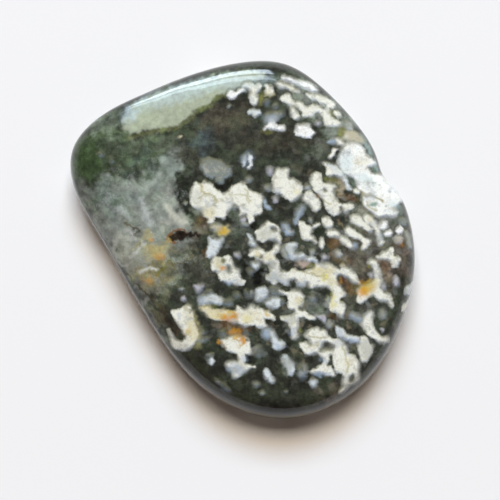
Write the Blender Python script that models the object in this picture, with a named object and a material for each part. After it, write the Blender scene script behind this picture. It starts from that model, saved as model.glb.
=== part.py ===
"""Moss agate: one flat tumbled and polished stone, lying on the small flat spot on its underside.

X runs to the right and Y away from the viewer across the stone's face, Z is up, and the origin is the middle
of the stone's footprint, on the table. The stone is a single solid: rings of points around one outline climb
from the flat spot, out to the girth where the stone is widest, over the rounded shoulder and in to the middle
of the top face.
"""

import math

import bpy
import numpy as np

MM = 0.001

# Driving dimensions
WIDTH = 34.6 * MM
LENGTH = 36.5 * MM
THICKNESS = 6.6 * MM
GIRTH_HEIGHT = 3.0 * MM
CROWN = 0.45 * MM  # how far the middle of the top face stands above its rim
FLAT_SPOT = 0.36  # the flat spot under the stone, as a share of the outline

# The outline seen from above, in millimetres, anticlockwise from the right, for one smooth closed curve
OUTLINE = (
    (17.4, -3.2),
    (17.0, 1.5),
    (16.0, 4.1),
    (14.4, 6.3),
    (13.9, 8.0),
    (12.2, 11.3),
    (8.5, 15.6),
    (4.4, 18.35),
    (0.2, 18.5),
    (-5.9, 16.8),
    (-11.0, 14.45),
    (-15.1, 11.9),
    (-17.2, 9.0),
    (-17.2, 5.8),
    (-14.6, 0.4),
    (-11.2, -5.4),
    (-7.8, -10.9),
    (-4.1, -15.3),
    (0.3, -17.9),
    (4.4, -18.6),
    (9.1, -17.3),
    (13.2, -13.9),
    (15.9, -9.1),
)

# The width of the top face's worn shoulder, in millimetres, at headings in degrees anticlockwise from +X
SHOULDER_WIDTHS = (
    (0, 1.9),
    (50, 3.2),
    (65, 2.9),
    (82, 3.2),
    (100, 2.9),
    (118, 2.2),
    (135, 1.7),
    (152, 2.3),
    (195, 2.3),
    (245, 2.2),
    (300, 1.9),
)
SHOULDER_FULLNESS = 2.3  # 2 is an ellipse, more is boxier
UNDER_FULLNESS = 3.2

# The worn facet on the lower left shoulder: a plane that trims it, rounded off where it meets the top face
FACET_HEADING = math.radians(212)
FACET_SLOPE = math.radians(45)
FACET_REACH = 10.7 * MM  # from the origin to the crease, along the heading
FACET_CREASE_HEIGHT = 6.0 * MM
FACET_SOFTNESS = 0.5 * MM

# Gentle swells that tumbling leaves in the top face: waves across X, waves across Y and phase
SWELLS = ((0.9, 0.5, 0.4), (-0.6, 1.1, 2.1), (1.5, 1.2, 4.0))
SWELL_HEIGHT = 0.06 * MM

# The mesh: points around each ring, and rings on each stretch of the profile
AROUND = 96
UNDER_RINGS = 9
SHOULDER_RINGS = 9
FACE_RINGS = 7


def closed_spline(points):
    """A function of 0 to 1 that runs once round a smooth closed curve through the points."""
    knots = np.array(points, float)
    count = len(knots)
    steps = np.linalg.norm(np.roll(knots, -1, axis=0) - knots, axis=1)
    ties = np.zeros((count, count))
    rises = np.zeros((count, 2))
    for i in range(count):
        before, after = steps[i - 1], steps[i]
        ties[i, i - 1] = after
        ties[i, i] = 2 * (before + after)
        ties[i, (i + 1) % count] = before
        rise_before = (knots[i] - knots[i - 1]) / before
        rise_after = (knots[(i + 1) % count] - knots[i]) / after
        rises[i] = 3 * (after * rise_before + before * rise_after)
    slopes = np.linalg.solve(ties, rises)
    starts = np.concatenate([[0.0], np.cumsum(steps)])

    def at(share):
        along = (share % 1.0) * starts[-1]
        i = min(int(np.searchsorted(starts, along, side="right")) - 1, count - 1)
        t = (along - starts[i]) / steps[i]
        here, there = knots[i], knots[(i + 1) % count]
        leave, arrive = slopes[i] * steps[i], slopes[(i + 1) % count] * steps[i]
        cubic = 2 * (here - there) + leave + arrive
        square = 3 * (there - here) - 2 * leave - arrive
        return here + t * (leave + t * (square + t * cubic))

    return at


def edge_points():
    """The points around the girth, centred on the origin and scaled to WIDTH and LENGTH."""
    curve = closed_spline(OUTLINE)
    points = np.array([curve(i / AROUND) for i in range(AROUND)])
    low, high = points.min(axis=0), points.max(axis=0)
    return (points - (low + high) / 2) * np.array([WIDTH, LENGTH]) / (high - low)


def shoulder_width(heading):
    """The shoulder's width at a heading in radians, eased from one stated heading to the next."""
    degrees = math.degrees(heading) % 360
    stated = SHOULDER_WIDTHS + ((360 + SHOULDER_WIDTHS[0][0], SHOULDER_WIDTHS[0][1]),)
    for (start, width), (end, next_width) in zip(stated, stated[1:]):
        if degrees <= end:
            ease = (1 - math.cos(math.pi * (degrees - start) / (end - start))) / 2
            return (width + (next_width - width) * ease) * MM


def soft_min(a, b, softness):
    """The lower of two heights, rounded off where they cross."""
    gap = max(softness - abs(a - b), 0.0) / softness
    return min(a, b) - gap * gap * softness / 4


def swell(x, y):
    waves = [
        math.sin(2 * math.pi * (across * x / WIDTH + along * y / LENGTH) + phase)
        for across, along, phase in SWELLS
    ]
    return SWELL_HEIGHT * sum(waves) / len(SWELLS)


def top_point(edge, inward, rise):
    """A point inward of the girth by a distance, with its rise from 0 at the girth to 1 on the top face."""
    reach = 1 - inward / math.hypot(*edge)
    x, y = edge * reach
    rim_height = THICKNESS - CROWN
    height = GIRTH_HEIGHT + (rim_height - GIRTH_HEIGHT) * rise
    height += (CROWN * (1 - reach**2) + swell(x, y)) * rise
    along = x * math.cos(FACET_HEADING) + y * math.sin(FACET_HEADING)
    facet = FACET_CREASE_HEIGHT - (along - FACET_REACH) * math.tan(FACET_SLOPE)
    return x, y, max(soft_min(height, facet, FACET_SOFTNESS), GIRTH_HEIGHT)


def under_ring(edge, share):
    """One ring of the underside, with its share from 0 at the flat spot's rim to 1 at the girth."""
    swing = math.sin(share * math.pi / 2)
    reach = FLAT_SPOT + (1 - FLAT_SPOT) * swing
    height = GIRTH_HEIGHT * (1 - math.sqrt(1 - swing**UNDER_FULLNESS))
    return [(x * reach, y * reach, height) for x, y in edge]


def shoulder_ring(edge, share):
    """One ring of the shoulder, with its share from 0 at the girth to 1 at the top face's rim."""
    swing = math.cos(share * math.pi / 2)
    rise = (1 - swing**SHOULDER_FULLNESS) ** (1 / SHOULDER_FULLNESS)
    widths = [shoulder_width(math.atan2(y, x)) for x, y in edge]
    return [top_point(point, width * (1 - swing), rise) for point, width in zip(edge, widths)]


def face_ring(edge, share):
    """One ring of the top face, with its share from 0 at its rim to 1 in the middle."""
    ring = []
    for point in edge:
        width = shoulder_width(math.atan2(point[1], point[0]))
        ring.append(top_point(point, width + (math.hypot(*point) - width) * share, 1.0))
    return ring


def stone_rings():
    """The rings from the flat spot's rim up to the last one before the middle of the top face."""
    edge = edge_points()
    rings = [under_ring(edge, i / UNDER_RINGS) for i in range(UNDER_RINGS)]
    rings += [shoulder_ring(edge, i / SHOULDER_RINGS) for i in range(SHOULDER_RINGS)]
    rings += [face_ring(edge, i / FACE_RINGS) for i in range(FACE_RINGS)]
    return rings


def stone_mesh():
    rings = stone_rings()
    points = [point for ring in rings for point in ring]
    foot = len(points)
    crown = foot + 1
    points += [(0.0, 0.0, 0.0), top_point(np.array([WIDTH / 2, 0.0]), WIDTH / 2, 1.0)]
    faces = []
    for k in range(AROUND):
        after = (k + 1) % AROUND
        faces.append((foot, after, k))
        for ring in range(len(rings) - 1):
            low, high = ring * AROUND, (ring + 1) * AROUND
            faces.append((low + k, low + after, high + after, high + k))
        last = (len(rings) - 1) * AROUND
        faces.append((last + k, last + after, crown))
    mesh = bpy.data.meshes.new("moss_agate")
    mesh.from_pydata(points, [], faces)
    mesh.shade_smooth()
    return mesh


def agate_material():
    material = bpy.data.materials.new("polished_agate")
    material.use_nodes = True
    shader = material.node_tree.nodes["Principled BSDF"]
    shader.inputs["Base Color"].default_value = (0.085, 0.1, 0.07, 1)
    shader.inputs["Roughness"].default_value = 0.08
    shader.inputs["Metallic"].default_value = 0.0
    return material


def clear_scene():
    for thing in list(bpy.data.objects):
        bpy.data.objects.remove(thing)


def build():
    clear_scene()
    stone = bpy.data.objects.new("moss_agate", stone_mesh())
    stone.data.materials.append(agate_material())
    bpy.context.scene.collection.objects.link(stone)


build()
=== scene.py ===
"""Looks of the moss agate: its fine surface, its markings, the polish, the light and the camera.

The stone keeps the shape of its CAD solid, on a finer mesh. Its markings are drawn as closed
outlines on the plane that the camera sees, in tenths of a millimetre, and the mesh carries each point's
distance to them. The material turns those distances into crisp, slightly ragged edges, and adds the moss,
the specks and the polish. The drawing runs on down the sides. Where the surface turns away from the camera,
patches follow a noise in space instead.
"""

import math

import bpy
import numpy as np
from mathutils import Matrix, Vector


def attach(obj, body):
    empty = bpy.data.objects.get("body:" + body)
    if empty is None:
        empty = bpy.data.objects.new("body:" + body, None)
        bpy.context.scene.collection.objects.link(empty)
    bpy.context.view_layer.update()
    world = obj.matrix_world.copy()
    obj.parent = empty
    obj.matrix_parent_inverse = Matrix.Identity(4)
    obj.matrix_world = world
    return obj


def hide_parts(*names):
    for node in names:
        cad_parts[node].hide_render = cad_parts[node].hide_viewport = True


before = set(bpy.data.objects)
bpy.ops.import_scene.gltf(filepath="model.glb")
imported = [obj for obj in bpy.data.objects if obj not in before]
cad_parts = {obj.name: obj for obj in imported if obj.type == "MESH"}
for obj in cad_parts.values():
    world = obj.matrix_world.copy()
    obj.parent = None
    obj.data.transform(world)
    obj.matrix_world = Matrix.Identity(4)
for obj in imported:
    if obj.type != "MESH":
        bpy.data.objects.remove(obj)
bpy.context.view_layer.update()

MM = 0.001

# The stone's shape, as its CAD solid has it
WIDTH = 34.6 * MM
LENGTH = 36.5 * MM
THICKNESS = 6.6 * MM
GIRTH_HEIGHT = 3.0 * MM
CROWN = 0.45 * MM
FLAT_SPOT = 0.36
OUTLINE = (
    (17.4, -3.2), (17.0, 1.5), (16.0, 4.1), (14.4, 6.3), (13.9, 8.0), (12.2, 11.3), (8.5, 15.6),
    (4.4, 18.35), (0.2, 18.5), (-5.9, 16.8), (-11.0, 14.45), (-15.1, 11.9), (-17.2, 9.0), (-17.2, 5.8),
    (-14.6, 0.4), (-11.2, -5.4), (-7.8, -10.9), (-4.1, -15.3), (0.3, -17.9), (4.4, -18.6), (9.1, -17.3),
    (13.2, -13.9), (15.9, -9.1),
)
SHOULDER_WIDTHS = (
    (0, 1.9), (50, 3.2), (65, 2.9), (82, 3.2), (100, 2.9), (118, 2.2), (135, 1.7), (152, 2.3), (195, 2.3),
    (245, 2.2), (300, 1.9), (360, 1.9),
)
SHOULDER_FULLNESS = 2.3
UNDER_FULLNESS = 3.2
FACET_HEADING = math.radians(212)
FACET_SLOPE = math.radians(45)
FACET_REACH = 10.7 * MM
FACET_CREASE_HEIGHT = 6.0 * MM
FACET_SOFTNESS = 0.5 * MM
SWELLS = ((0.9, 0.5, 0.4), (-0.6, 1.1, 2.1), (1.5, 1.2, 4.0))
SWELL_HEIGHT = 0.06 * MM

# The fine mesh: the distance between points on the top face, on the shoulder and on the underside
TOP_SPACING = 0.12 * MM
SHOULDER_SPACING = 0.156 * MM
UNDER_SPACING = 0.27 * MM
FLAT_RING_SPACING = 0.54 * MM  # between one ring and the next on the flat spot, which lies on the table
SHOULDER_RINGS = 26
UNDER_RINGS = 50
RIM_REACH = 0.9  # the top face's rim, as a share of the outline, for counting its points
FEWEST_POINTS = 12
OUTLINE_SAMPLES = 2000
LENGTH_SAMPLES = 400

# The camera. PIVOT is the point it turns about, and PIVOT_PIXEL is where the photograph shows it.
PHOTO_SIZE = 500
ELEVATION = math.radians(78)
DISTANCE = 125 * MM
LENS = 90
SENSOR = 36
CLIP_START = 0.01
CLIP_END = 20
PIVOT = Vector((0, 0, 3.5 * MM))
PIVOT_PIXEL = (241.2, 234.7)
FOCAL_PIXELS = LENS / SENSOR * PHOTO_SIZE

# The plane that the markings are drawn on
MARKS_PIXEL = (243, 240)  # its origin, as a place in the photograph
MARKS_PER_MM = 10
SIDE_TOP = 5.0 * MM  # the height below which the drawing follows the stone's sides down
SIDE_REACH = 10 * MM  # nearer the middle than this, it is moved out less

# How squarely the surface faces the camera, as the cosine of the angle between them
STEEP = (0.25, 0.65)  # the drawing follows the surface down fully below the first, and not above the second
DRAWN = (-0.35, 0.25)  # patches come from noise below the first, and are drawn above the second

# Kinds of patch: its colour, as sRGB, and how soft its edge is, in tenths of a millimetre
KINDS = {
    "cream": ((238, 239, 227), 1.7),
    "white": ((248, 250, 248), 1.5),
    "ice": ((216, 225, 228), 2.0),
    "blue": ((164, 181, 198), 2.5),
    "lilac": ((184, 184, 194), 2.3),
    "grey": ((154, 160, 152), 2.6),
    "slate": ((130, 138, 132), 2.6),
    "dim": ((110, 116, 108), 3.4),
    "beige": ((190, 185, 160), 2.0),
    "butter": ((226, 218, 178), 1.6),
    # milk_and_sheen: milky white patches, brightened past the stone's own colour, so partly painted
    # reflection
    "milk_and_sheen": ((250, 253, 248), 2.4),
}

# The patches of each kind, as closed outlines
PATCHES = {
    "cream": (
        ((7, 137), (10, 135), (14, 136), (15, 141), (14, 146), (17, 150), (18, 155), (15, 158), (12, 155),
         (9, 157), (4, 158), (0, 157), (-1, 154), (2, 152), (6, 151), (7, 147), (6, 141)),
        ((22, 156), (25, 155), (28, 154), (30, 151), (31, 147), (30, 145), (26, 144), (23, 145), (22, 149),
         (23, 152)),
        ((33, 158), (37, 158.5), (43, 156.5), (49, 154), (54, 150.5), (57, 148.5), (54, 147), (49, 149),
         (44, 151.5), (37, 152), (35, 155)),
        ((39, 144), (42, 146.5), (46, 146), (49, 142), (52, 138), (53, 135), (47, 135), (42, 137.5),
         (38, 140)),
        ((48, 132), (51, 132), (53, 129), (56, 127), (57, 123), (54, 121), (51, 120.5), (49, 123),
         (48, 127)),
        ((31, 47), (30.5, 52), (30, 57), (29, 61), (31, 65), (33, 70), (35, 71.5), (39, 71), (43, 71.5),
         (45, 70), (45, 65), (45.5, 61), (49, 61), (52, 60), (55, 57), (58, 55.5), (60, 54.5), (60, 51),
         (58, 46), (55.5, 43), (53, 40.5), (50.5, 38.7), (47.5, 38.5), (45, 40), (42.5, 42), (39, 45),
         (36, 46)),
        ((52, 137), (54, 139), (58, 138.5), (61, 136), (65, 133.5), (70, 135), (75, 134.5), (79, 131.5),
         (81, 131), (83, 134), (86, 135), (87, 131), (87, 126), (89, 123), (94, 121), (98, 118),
         (97, 114.5), (92, 113), (85, 113.5), (82, 116), (80.5, 120), (79.5, 124), (77, 127.5), (73, 127),
         (70, 124.5), (66, 123), (61, 122.5), (59, 124), (58, 128), (56, 131), (53, 133.5)),
        ((62, 146.5), (68, 146.5), (74, 145.5), (80, 143), (87, 141), (91, 138.5), (92.5, 134), (90, 131.5),
         (87, 132), (85, 135), (81, 135), (77, 137.5), (73, 140), (69, 140), (66, 142)),
        ((90, 129), (94, 129.5), (97, 127), (98, 123.5), (95, 122.5), (92, 125)),
        ((90, 92), (94, 92), (96, 91), (93, 87.5), (91, 84), (88, 82), (85.5, 83.5), (88, 87), (89, 90)),
        ((92, 101), (95, 102), (98, 100), (100, 97), (99, 95), (96, 95.5), (94, 97.5)),
        ((80, 77), (83, 78), (85, 75), (89, 73.5), (95, 72.5), (99, 70), (100, 66), (98, 63), (92, 64.5),
         (85, 64), (83, 66), (83, 72)),
        ((70, 66), (74, 67.5), (78, 66.5), (79, 62), (80, 58), (82, 57.5), (85, 56.5), (89, 55.5), (92, 54),
         (90.7, 51), (90, 48), (91, 44.5), (93, 41), (94.6, 38), (98, 36.3), (99, 34), (96, 33), (97.3, 30),
         (97, 26.3), (94, 24.7), (90.7, 24.4), (88, 26), (85, 28.6), (82.3, 31.3), (81.8, 34.7), (81, 38),
         (79.6, 41.3), (76, 44.7), (74, 47), (71, 49.7), (70, 52), (68.4, 54.7), (67.3, 58), (68.5, 62)),
        ((60.7, 45), (62.3, 47.4), (65.7, 48.8), (69, 48.3), (71, 45.8), (75, 42), (77, 38.6), (77.3, 34.7),
         (77, 30.8), (74, 28.8), (71, 29.4), (69.6, 32), (68, 34), (65, 36.3), (63, 38.6), (60.7, 40.8)),
        ((-48, 58), (-50, 54), (-51.5, 50), (-52.5, 45), (-53, 40), (-52, 36), (-50, 33), (-46, 31),
         (-43, 30.5), (-41, 28), (-39, 23.5), (-35.5, 20.5), (-36, 17.5), (-33, 16), (-30, 16.5), (-28, 20),
         (-27.5, 22.5), (-23, 22), (-20, 21.5), (-18, 21.5), (-16.5, 25), (-15, 28.5), (-12, 32),
         (-9.5, 35.5), (-6, 34), (-2.4, 28), (-2.4, 25), (0, 26), (3.7, 24.7), (4.8, 22), (5.3, 18),
         (6.4, 15), (9, 17), (11, 20), (11.4, 23.5), (16, 25), (18, 26), (18.7, 30), (19.8, 36), (19.8, 41),
         (19, 44.7), (15, 47), (10, 48.5), (5, 52.5), (0, 57), (-6, 56), (-11, 54), (-14, 50), (-16, 48),
         (-19, 46.5), (-21, 47), (-23, 49), (-26.5, 50.5), (-29, 53), (-31, 56), (-36, 57.5), (-42, 56.5)),
        ((18.7, 13), (20, 14), (22.6, 17), (25.3, 18.3), (29, 17), (32.6, 15), (35.3, 13.6), (37, 9.7),
         (36.4, 5), (38, 2.4), (38.7, -1), (37, -3.7), (34.8, -1.4), (31, -0.3), (27, -0.3), (23.7, -1),
         (20.3, -3), (18, -1), (14.8, 0), (13.7, 4.7), (12.6, 8.6), (15.3, 10)),
        ((55.7, 19), (58, 19), (61, 17.5), (64, 14.7), (67, 14), (69, 13), (71, 15.5), (75, 17), (77, 16),
         (76, 13.5), (72, 12), (69, 11), (68.5, 8), (67.5, 5.5), (69, 4), (71, 2), (73, 0), (74, -3),
         (72, -3), (69, -1), (66, -0.5), (63, -1), (60.5, 0), (59, 3), (58, 7), (56.5, 11), (55.5, 15)),
        ((77, 1), (80, 2), (81, -2), (81, -8), (77, -8)),
        ((79, 20), (80, 22), (84, 23), (88, 21), (90, 18), (90.5, 15), (88, 12.5), (84, 12), (81, 14.5),
         (80, 17)),
        ((84, 7), (86, 9), (90, 9.5), (94, 9.5), (96, 7), (97.5, 4), (96, 2), (92, 3), (88, 3), (85, 4.5)),
        ((99, 35), (101, 36), (105, 36.5), (109, 36), (111, 34), (110, 30.5), (106, 28.5), (102, 28),
         (100.5, 31)),
        ((110, 50), (114, 51), (117, 49.5), (117, 46.5), (112, 46)),
        ((108, 22), (110, 25), (115, 25.5), (119, 22), (122, 17.5), (127, 13.5), (131, 10.5), (128, 8),
         (122, 10), (116, 13.5), (110, 17)),
        ((121, 22.5), (124, 25.5), (129, 23.5), (132.5, 19), (134, 15), (133, 12), (130, 12.5), (126, 15),
         (122.5, 18)),
        ((102, 10), (105, 13), (112, 9.5), (119, 4.5), (125, 1.5), (128, -2), (125.5, -7), (121, -11),
         (118.5, -8), (120, -4), (116, 0), (110, 2), (104, 6)),
        ((97, 3), (102, 3), (106, 0), (109, -4), (110, -8), (106, -8.5), (102, -5), (98, -1)),
        ((132, 12), (136, 12), (138, 6), (140, 1), (141, -3), (138, -6), (135, -3), (135, 3), (133, 8)),
        ((134, -17), (137, -15), (140, -12), (143, -11), (146, -8), (149, -7.5), (151, -9), (151, -13),
         (152, -15.5), (155, -16), (157.5, -18), (157.5, -22), (156, -26), (154, -28), (150, -27),
         (149, -25), (148, -22), (145, -20), (141, -20), (137, -19.5)),
        ((125, -21.5), (130, -20), (134.5, -22.5), (136.5, -28), (137, -34), (138, -38), (138.5, -42),
         (137.5, -47), (141, -53), (147, -54), (149, -58), (151, -66), (149, -68), (146, -63), (141, -61),
         (136, -60), (131, -56), (127, -57), (124, -60), (119, -64), (115, -63), (114, -58), (117, -47),
         (126, -44), (131.5, -40), (130.5, -36), (129.5, -28)),
        ((98, -28), (103, -28), (108, -30), (112, -35), (116, -41), (117, -44), (112, -43), (107, -39),
         (102, -36), (98, -34)),
        ((160, -66), (163, -63), (177, -61), (176, -71), (162, -73), (159, -70)),
        ((123, -74), (128, -71), (130, -74), (129, -81), (130.4, -86.6), (134, -92), (139, -97),
         (145.4, -97.3), (145.4, -102.5), (140, -103.4), (133, -100.6), (126.7, -97.8), (123, -93),
         (120, -85.6), (120.5, -80)),
        ((86, -65), (88, -72), (93, -73.5), (96, -76), (98.5, -77.5), (101, -74.5), (102.5, -70),
         (102.5, -66), (100.5, -62), (97, -61), (97.5, -59), (100.5, -57), (102.5, -54), (101, -51),
         (98, -47), (94.5, -44), (93.5, -40), (94.5, -36), (98, -34), (99, -30.5), (97, -30.5), (94, -28),
         (91, -26), (88, -24.5), (84, -24), (78, -24), (74, -25), (72, -27.5), (69, -29.5), (64, -30),
         (60, -31.5), (57.5, -31.5), (55, -31), (52, -29), (49, -28.5), (46.5, -31), (43, -31.5),
         (38, -31.5), (36.8, -30), (36.8, -24), (35.5, -20.5), (33, -18.5), (32, -16), (33.5, -13.5),
         (36, -12), (36.5, -9), (36, -6), (34, -5), (31.5, -6.5), (29.5, -9.5), (27, -11.5), (24, -12),
         (20, -10.5), (16, -8.5), (12, -9), (9, -10), (7.5, -12.5), (6, -16), (9, -17), (11.5, -17),
         (13, -19), (16, -19.5), (20.5, -21), (22.5, -23.5), (26, -24), (27.5, -26.5), (28, -29), (27, -32),
         (26, -34.5), (23.5, -36.5), (24, -40), (27, -42.5), (30, -44.5), (32.5, -45), (34, -43), (35, -41),
         (38, -42), (40, -44), (43, -45.5), (46, -45), (46, -42), (48, -40), (53, -39), (54.5, -42),
         (57, -45), (60, -46.5), (62, -46), (63, -43), (66, -43), (67, -47), (70, -48.5), (74, -47),
         (78, -46.5), (84, -46.5), (87, -48), (89, -51), (90, -54), (89.5, -57), (88, -60)),
        ((45, -56.5), (44, -55), (40, -54.5), (36.5, -53), (36.5, -50.5), (40, -51), (44, -52.5),
         (48, -51.5), (53, -50.5), (56.5, -51.5), (59, -54), (60.5, -58), (61, -62), (59, -65.5), (56, -67),
         (56, -70), (59, -71), (63, -70.8), (64.5, -73), (66, -75.5), (69, -76), (72, -77.5), (73, -79.5),
         (71, -80.5), (66, -80.5), (63, -78.5), (60, -77), (57, -79), (55.5, -82), (55, -86), (54.5, -90),
         (54, -95), (53, -98.5), (50, -99), (49, -95), (48.5, -91), (47, -87.5), (45, -84), (41, -82.5),
         (38, -79.5), (38, -77.5), (44, -77), (47, -75.5), (51, -74.5), (52.5, -73), (51.5, -71), (48, -69),
         (45.5, -66.5), (45, -62)),
        ((118, -97), (122, -96), (125, -98), (127, -103), (130, -107), (129, -113), (127, -118),
         (125, -122), (121, -122.5), (118, -120), (116, -113), (116, -106), (118, -101)),
        ((63, -95), (65, -91.5), (69, -89), (75, -88.5), (78, -90.5), (81, -90), (83.5, -92), (84.5, -95),
         (87, -98), (91, -99.5), (95.5, -99), (100, -101), (102.5, -105), (104, -110), (107, -114.5),
         (112, -115.5), (114, -118), (116.3, -125), (116.3, -132.5), (116.8, -137), (115.4, -142),
         (110.7, -144.7), (106, -146.5), (103, -151), (98.5, -154), (96.7, -152), (99.5, -145.6),
         (100.4, -140), (99.5, -135.3), (94.8, -133.4), (92, -130), (88, -127), (91, -133), (91, -137),
         (84.5, -135.3), (77, -133.4), (69.5, -133.4), (65.7, -132.5), (69.5, -129.7), (73, -128.5),
         (76, -126.5), (79, -124), (80.5, -121), (79.5, -118), (77, -115.5), (75, -113.5), (70, -113.5),
         (66, -115), (62, -113.5), (60, -110), (57.5, -106), (58, -103.5), (61, -102.5), (64, -104),
         (67, -105.5), (69, -104.5), (67.5, -101), (65, -98.5), (62.5, -96.5)),
        ((-6, -67), (-4, -66.5), (-2, -68), (0.5, -70), (4, -70), (6.5, -67), (8, -66), (11, -66.5),
         (12, -68.5), (15, -68.5), (19, -68.5), (21, -70), (22.5, -71), (25, -72), (28, -73.5), (30.5, -75),
         (32, -77.5), (32.5, -80.5), (31, -80.5), (29, -79.5), (26, -79), (23.5, -79), (22, -80),
         (22.5, -83), (24, -87), (22, -88.5), (18, -88), (14, -87.5), (12, -86), (8, -86.5), (5, -86),
         (2, -86.5), (-1, -85.5), (-4, -84.5), (-7, -80), (-7, -73)),
        ((-20.5, -100), (-16, -98.4), (-12, -96.5), (-7, -95), (-2, -97), (2, -98.4), (6, -101.5),
         (7.5, -106), (8.5, -110), (8, -113.5), (6.5, -115.5), (4.5, -116), (3, -114.5), (3, -118),
         (3, -122), (1, -123), (7, -125.5), (12, -126.5), (12.5, -128.5), (7, -129), (4.5, -130.5),
         (1, -133), (-2.7, -137), (-6.4, -138.7), (-9.3, -137), (-10, -132), (-14, -128.4), (-16, -123.5),
         (-10, -122), (-4.6, -122), (-4.6, -117), (-8.3, -113.4), (-15, -111.6), (-17.7, -108),
         (-20.5, -104)),
        ((-66.8, -70.3), (-62, -68.4), (-58, -66), (-53.6, -65.5), (-51.5, -69), (-50, -74), (-48.5, -80),
         (-46.5, -88), (-45, -93), (-44.5, -98), (-47, -103), (-50, -106), (-53, -109), (-57, -111),
         (-62, -111.5), (-67, -109.5), (-70, -106.5), (-71.5, -102), (-73.3, -96.5), (-74.7, -92),
         (-74.3, -89), (-72.5, -89), (-70.5, -94), (-68, -98.5), (-65, -100.5), (-60, -101), (-57.5, -98),
         (-60, -94), (-59.5, -91), (-62, -87.5), (-65, -84), (-68, -80), (-70, -76), (-71, -72)),
        ((-28, -17.5), (-24, -17), (-21, -18.5), (-18.5, -16.5), (-16, -15.5), (-13.5, -15.5), (-12, -18),
         (-11, -21), (-10, -25), (-9, -27), (-8, -29), (-5, -30.5), (-4, -33), (-2.5, -37), (-1, -40),
         (1, -41), (2, -43), (0, -45), (-3, -46), (-5, -46), (-8, -44.5), (-11, -44), (-15, -43),
         (-18, -42.5), (-22.5, -42), (-23.5, -38), (-24.5, -34), (-27, -32), (-30, -31), (-31.5, -28),
         (-31.5, -24), (-30, -20)),
    ),
    "white": (
        # This bar along the top rim is partly a white patch and partly a painted highlight
        ((40, 164), (46, 163.5), (53, 161), (60, 159.5), (67, 157.5), (71, 155), (74, 151), (74, 149),
         (71, 148.5), (66, 150), (60, 152), (55, 154.5), (50, 157), (45, 159.5), (40, 161)),
        ((26, 122), (30, 122.5), (33, 119), (34, 116), (37, 115), (41, 115), (42, 111), (40, 109),
         (35, 110), (29, 110), (25, 111.5), (21, 109.5), (22, 112.5), (24, 116), (25, 119)),
        ((6, 86), (9, 83), (9, 78), (8.5, 73), (5, 71), (4, 73), (6, 76), (5.5, 81)),
        ((52, 106), (53, 111), (54, 114.5), (58, 115), (63, 116.5), (66, 116), (68, 112), (70, 110),
         (72, 107), (69.5, 104), (67, 101.5), (62, 102), (57, 103), (53, 104)),
        ((135, 14), (137, 17.5), (140, 19.5), (143.5, 18), (144.5, 14), (143, 10.5), (138, 10),
         (135.5, 11.5)),
        ((141, 6), (143, 9), (147, 9.5), (149.5, 7), (148, 4), (144, 3)),
        ((153, 9), (155, 13), (158, 14), (160.5, 10.5), (159, 6.5), (155, 6)),
        ((-17, 145), (-13, 150.5), (-8, 148), (-5, 149.5), (0, 152), (2, 150), (-3, 147), (-7, 143),
         (-12, 141)),
    ),
    "ice": (
        ((5, 129), (9, 131), (13, 130), (17, 129), (18, 126), (15, 125), (12, 123), (9, 125.5), (6, 126)),
        ((0, 73), (0, 79), (1, 84), (3, 84), (3, 79), (2, 74)),
        ((84, 76), (89, 75.5), (94, 73.5), (99, 69), (103, 64), (105, 59), (107, 54), (109, 50),
         (106, 49.5), (103, 53), (101, 58), (98, 62), (92, 65), (87, 69)),
        ((4, 6), (7, 5), (9, 2), (11, -1), (13, -4), (11, -7), (8, -6), (6, -3), (7, 0)),
        ((162, -52), (164, -46), (176, -42), (180, -48), (170, -56), (163, -55)),
        ((9, -23.5), (12, -22.5), (15, -23.5), (16, -26), (14.5, -29), (12, -29.5), (9.5, -27)),
        ((12.5, -49), (16, -48), (20, -46.5), (23, -47), (25, -50), (25, -53), (24.5, -56), (22, -58.5),
         (19, -59.5), (16.5, -60.5), (14, -60), (13.5, -57), (14, -54.5), (12.5, -52.5)),
        ((24, -62), (27, -60.5), (29, -58.5), (33, -58), (36.5, -58.5), (38, -60), (38, -64), (37, -66.5),
         (35, -68.5), (31, -68.5), (28, -67), (24, -66), (22.5, -64)),
        ((42.5, -5), (47, -2.5), (52, -3), (54, -6), (51, -9.5), (52, -13), (56, -14.5), (60, -13),
         (63, -15.5), (60, -18.5), (55, -19), (51, -20), (47, -18), (44.5, -13), (42, -9)),
        ((63, -18.5), (67, -17), (71, -17), (74, -19), (75, -22), (73, -23), (70, -21.5), (67, -22),
         (64.5, -21.5)),
        ((91.5, -12), (94, -10.5), (98, -12), (99, -15), (97, -17), (93, -16.5)),
        ((93, -87), (97, -88), (100, -89.5), (104, -93), (109, -96), (115, -97), (117, -99), (116, -102),
         (108, -102), (101, -99.5), (97, -98), (94, -95)),
        ((26, -91), (29, -91.5), (31, -93.5), (33, -97), (35, -99.5), (39, -101), (41.5, -103),
         (42, -105.5), (41, -108.5), (37, -110), (33, -110), (31, -108), (30, -104), (28.5, -100),
         (27, -96)),
        ((39.5, -117), (41, -115), (44, -115.5), (45, -118.5), (47, -121), (50, -124), (51.5, -127.5),
         (52, -131), (50, -135), (48.5, -136), (46, -135), (45, -131), (44, -128.5), (42, -125.5),
         (40.5, -121.5)),
        ((21, -130), (24, -129), (27, -132), (28, -136), (31, -141), (29, -143.5), (26, -141), (22, -136)),
        ((68, -142), (70, -139.5), (73, -140), (74, -143), (72, -147), (69, -146)),
        ((-43, -59), (-41, -56.5), (-37, -55.5), (-33, -54.5), (-29, -54.5), (-25, -56), (-21, -58.5),
         (-19.5, -61), (-20, -63.5), (-23, -65), (-27, -64.5), (-32, -63.5), (-36, -64.5), (-40, -65),
         (-43, -63)),
        ((-34.5, 3), (-30, 3), (-26, 1), (-21, 2), (-20.5, -1), (-22, -5), (-24, -9), (-26, -14),
         (-28, -16), (-31, -17), (-34, -18), (-36.5, -17), (-36.5, -13), (-36, -9), (-35, -5), (-34, -1)),
        ((-33, -119), (-31.5, -117), (-29.5, -118), (-28.5, -123), (-30, -125.5), (-32.5, -124)),
    ),
    "blue": (
        ((85, 98), (88, 101), (92, 101), (93, 98), (89, 96.5)),
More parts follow.
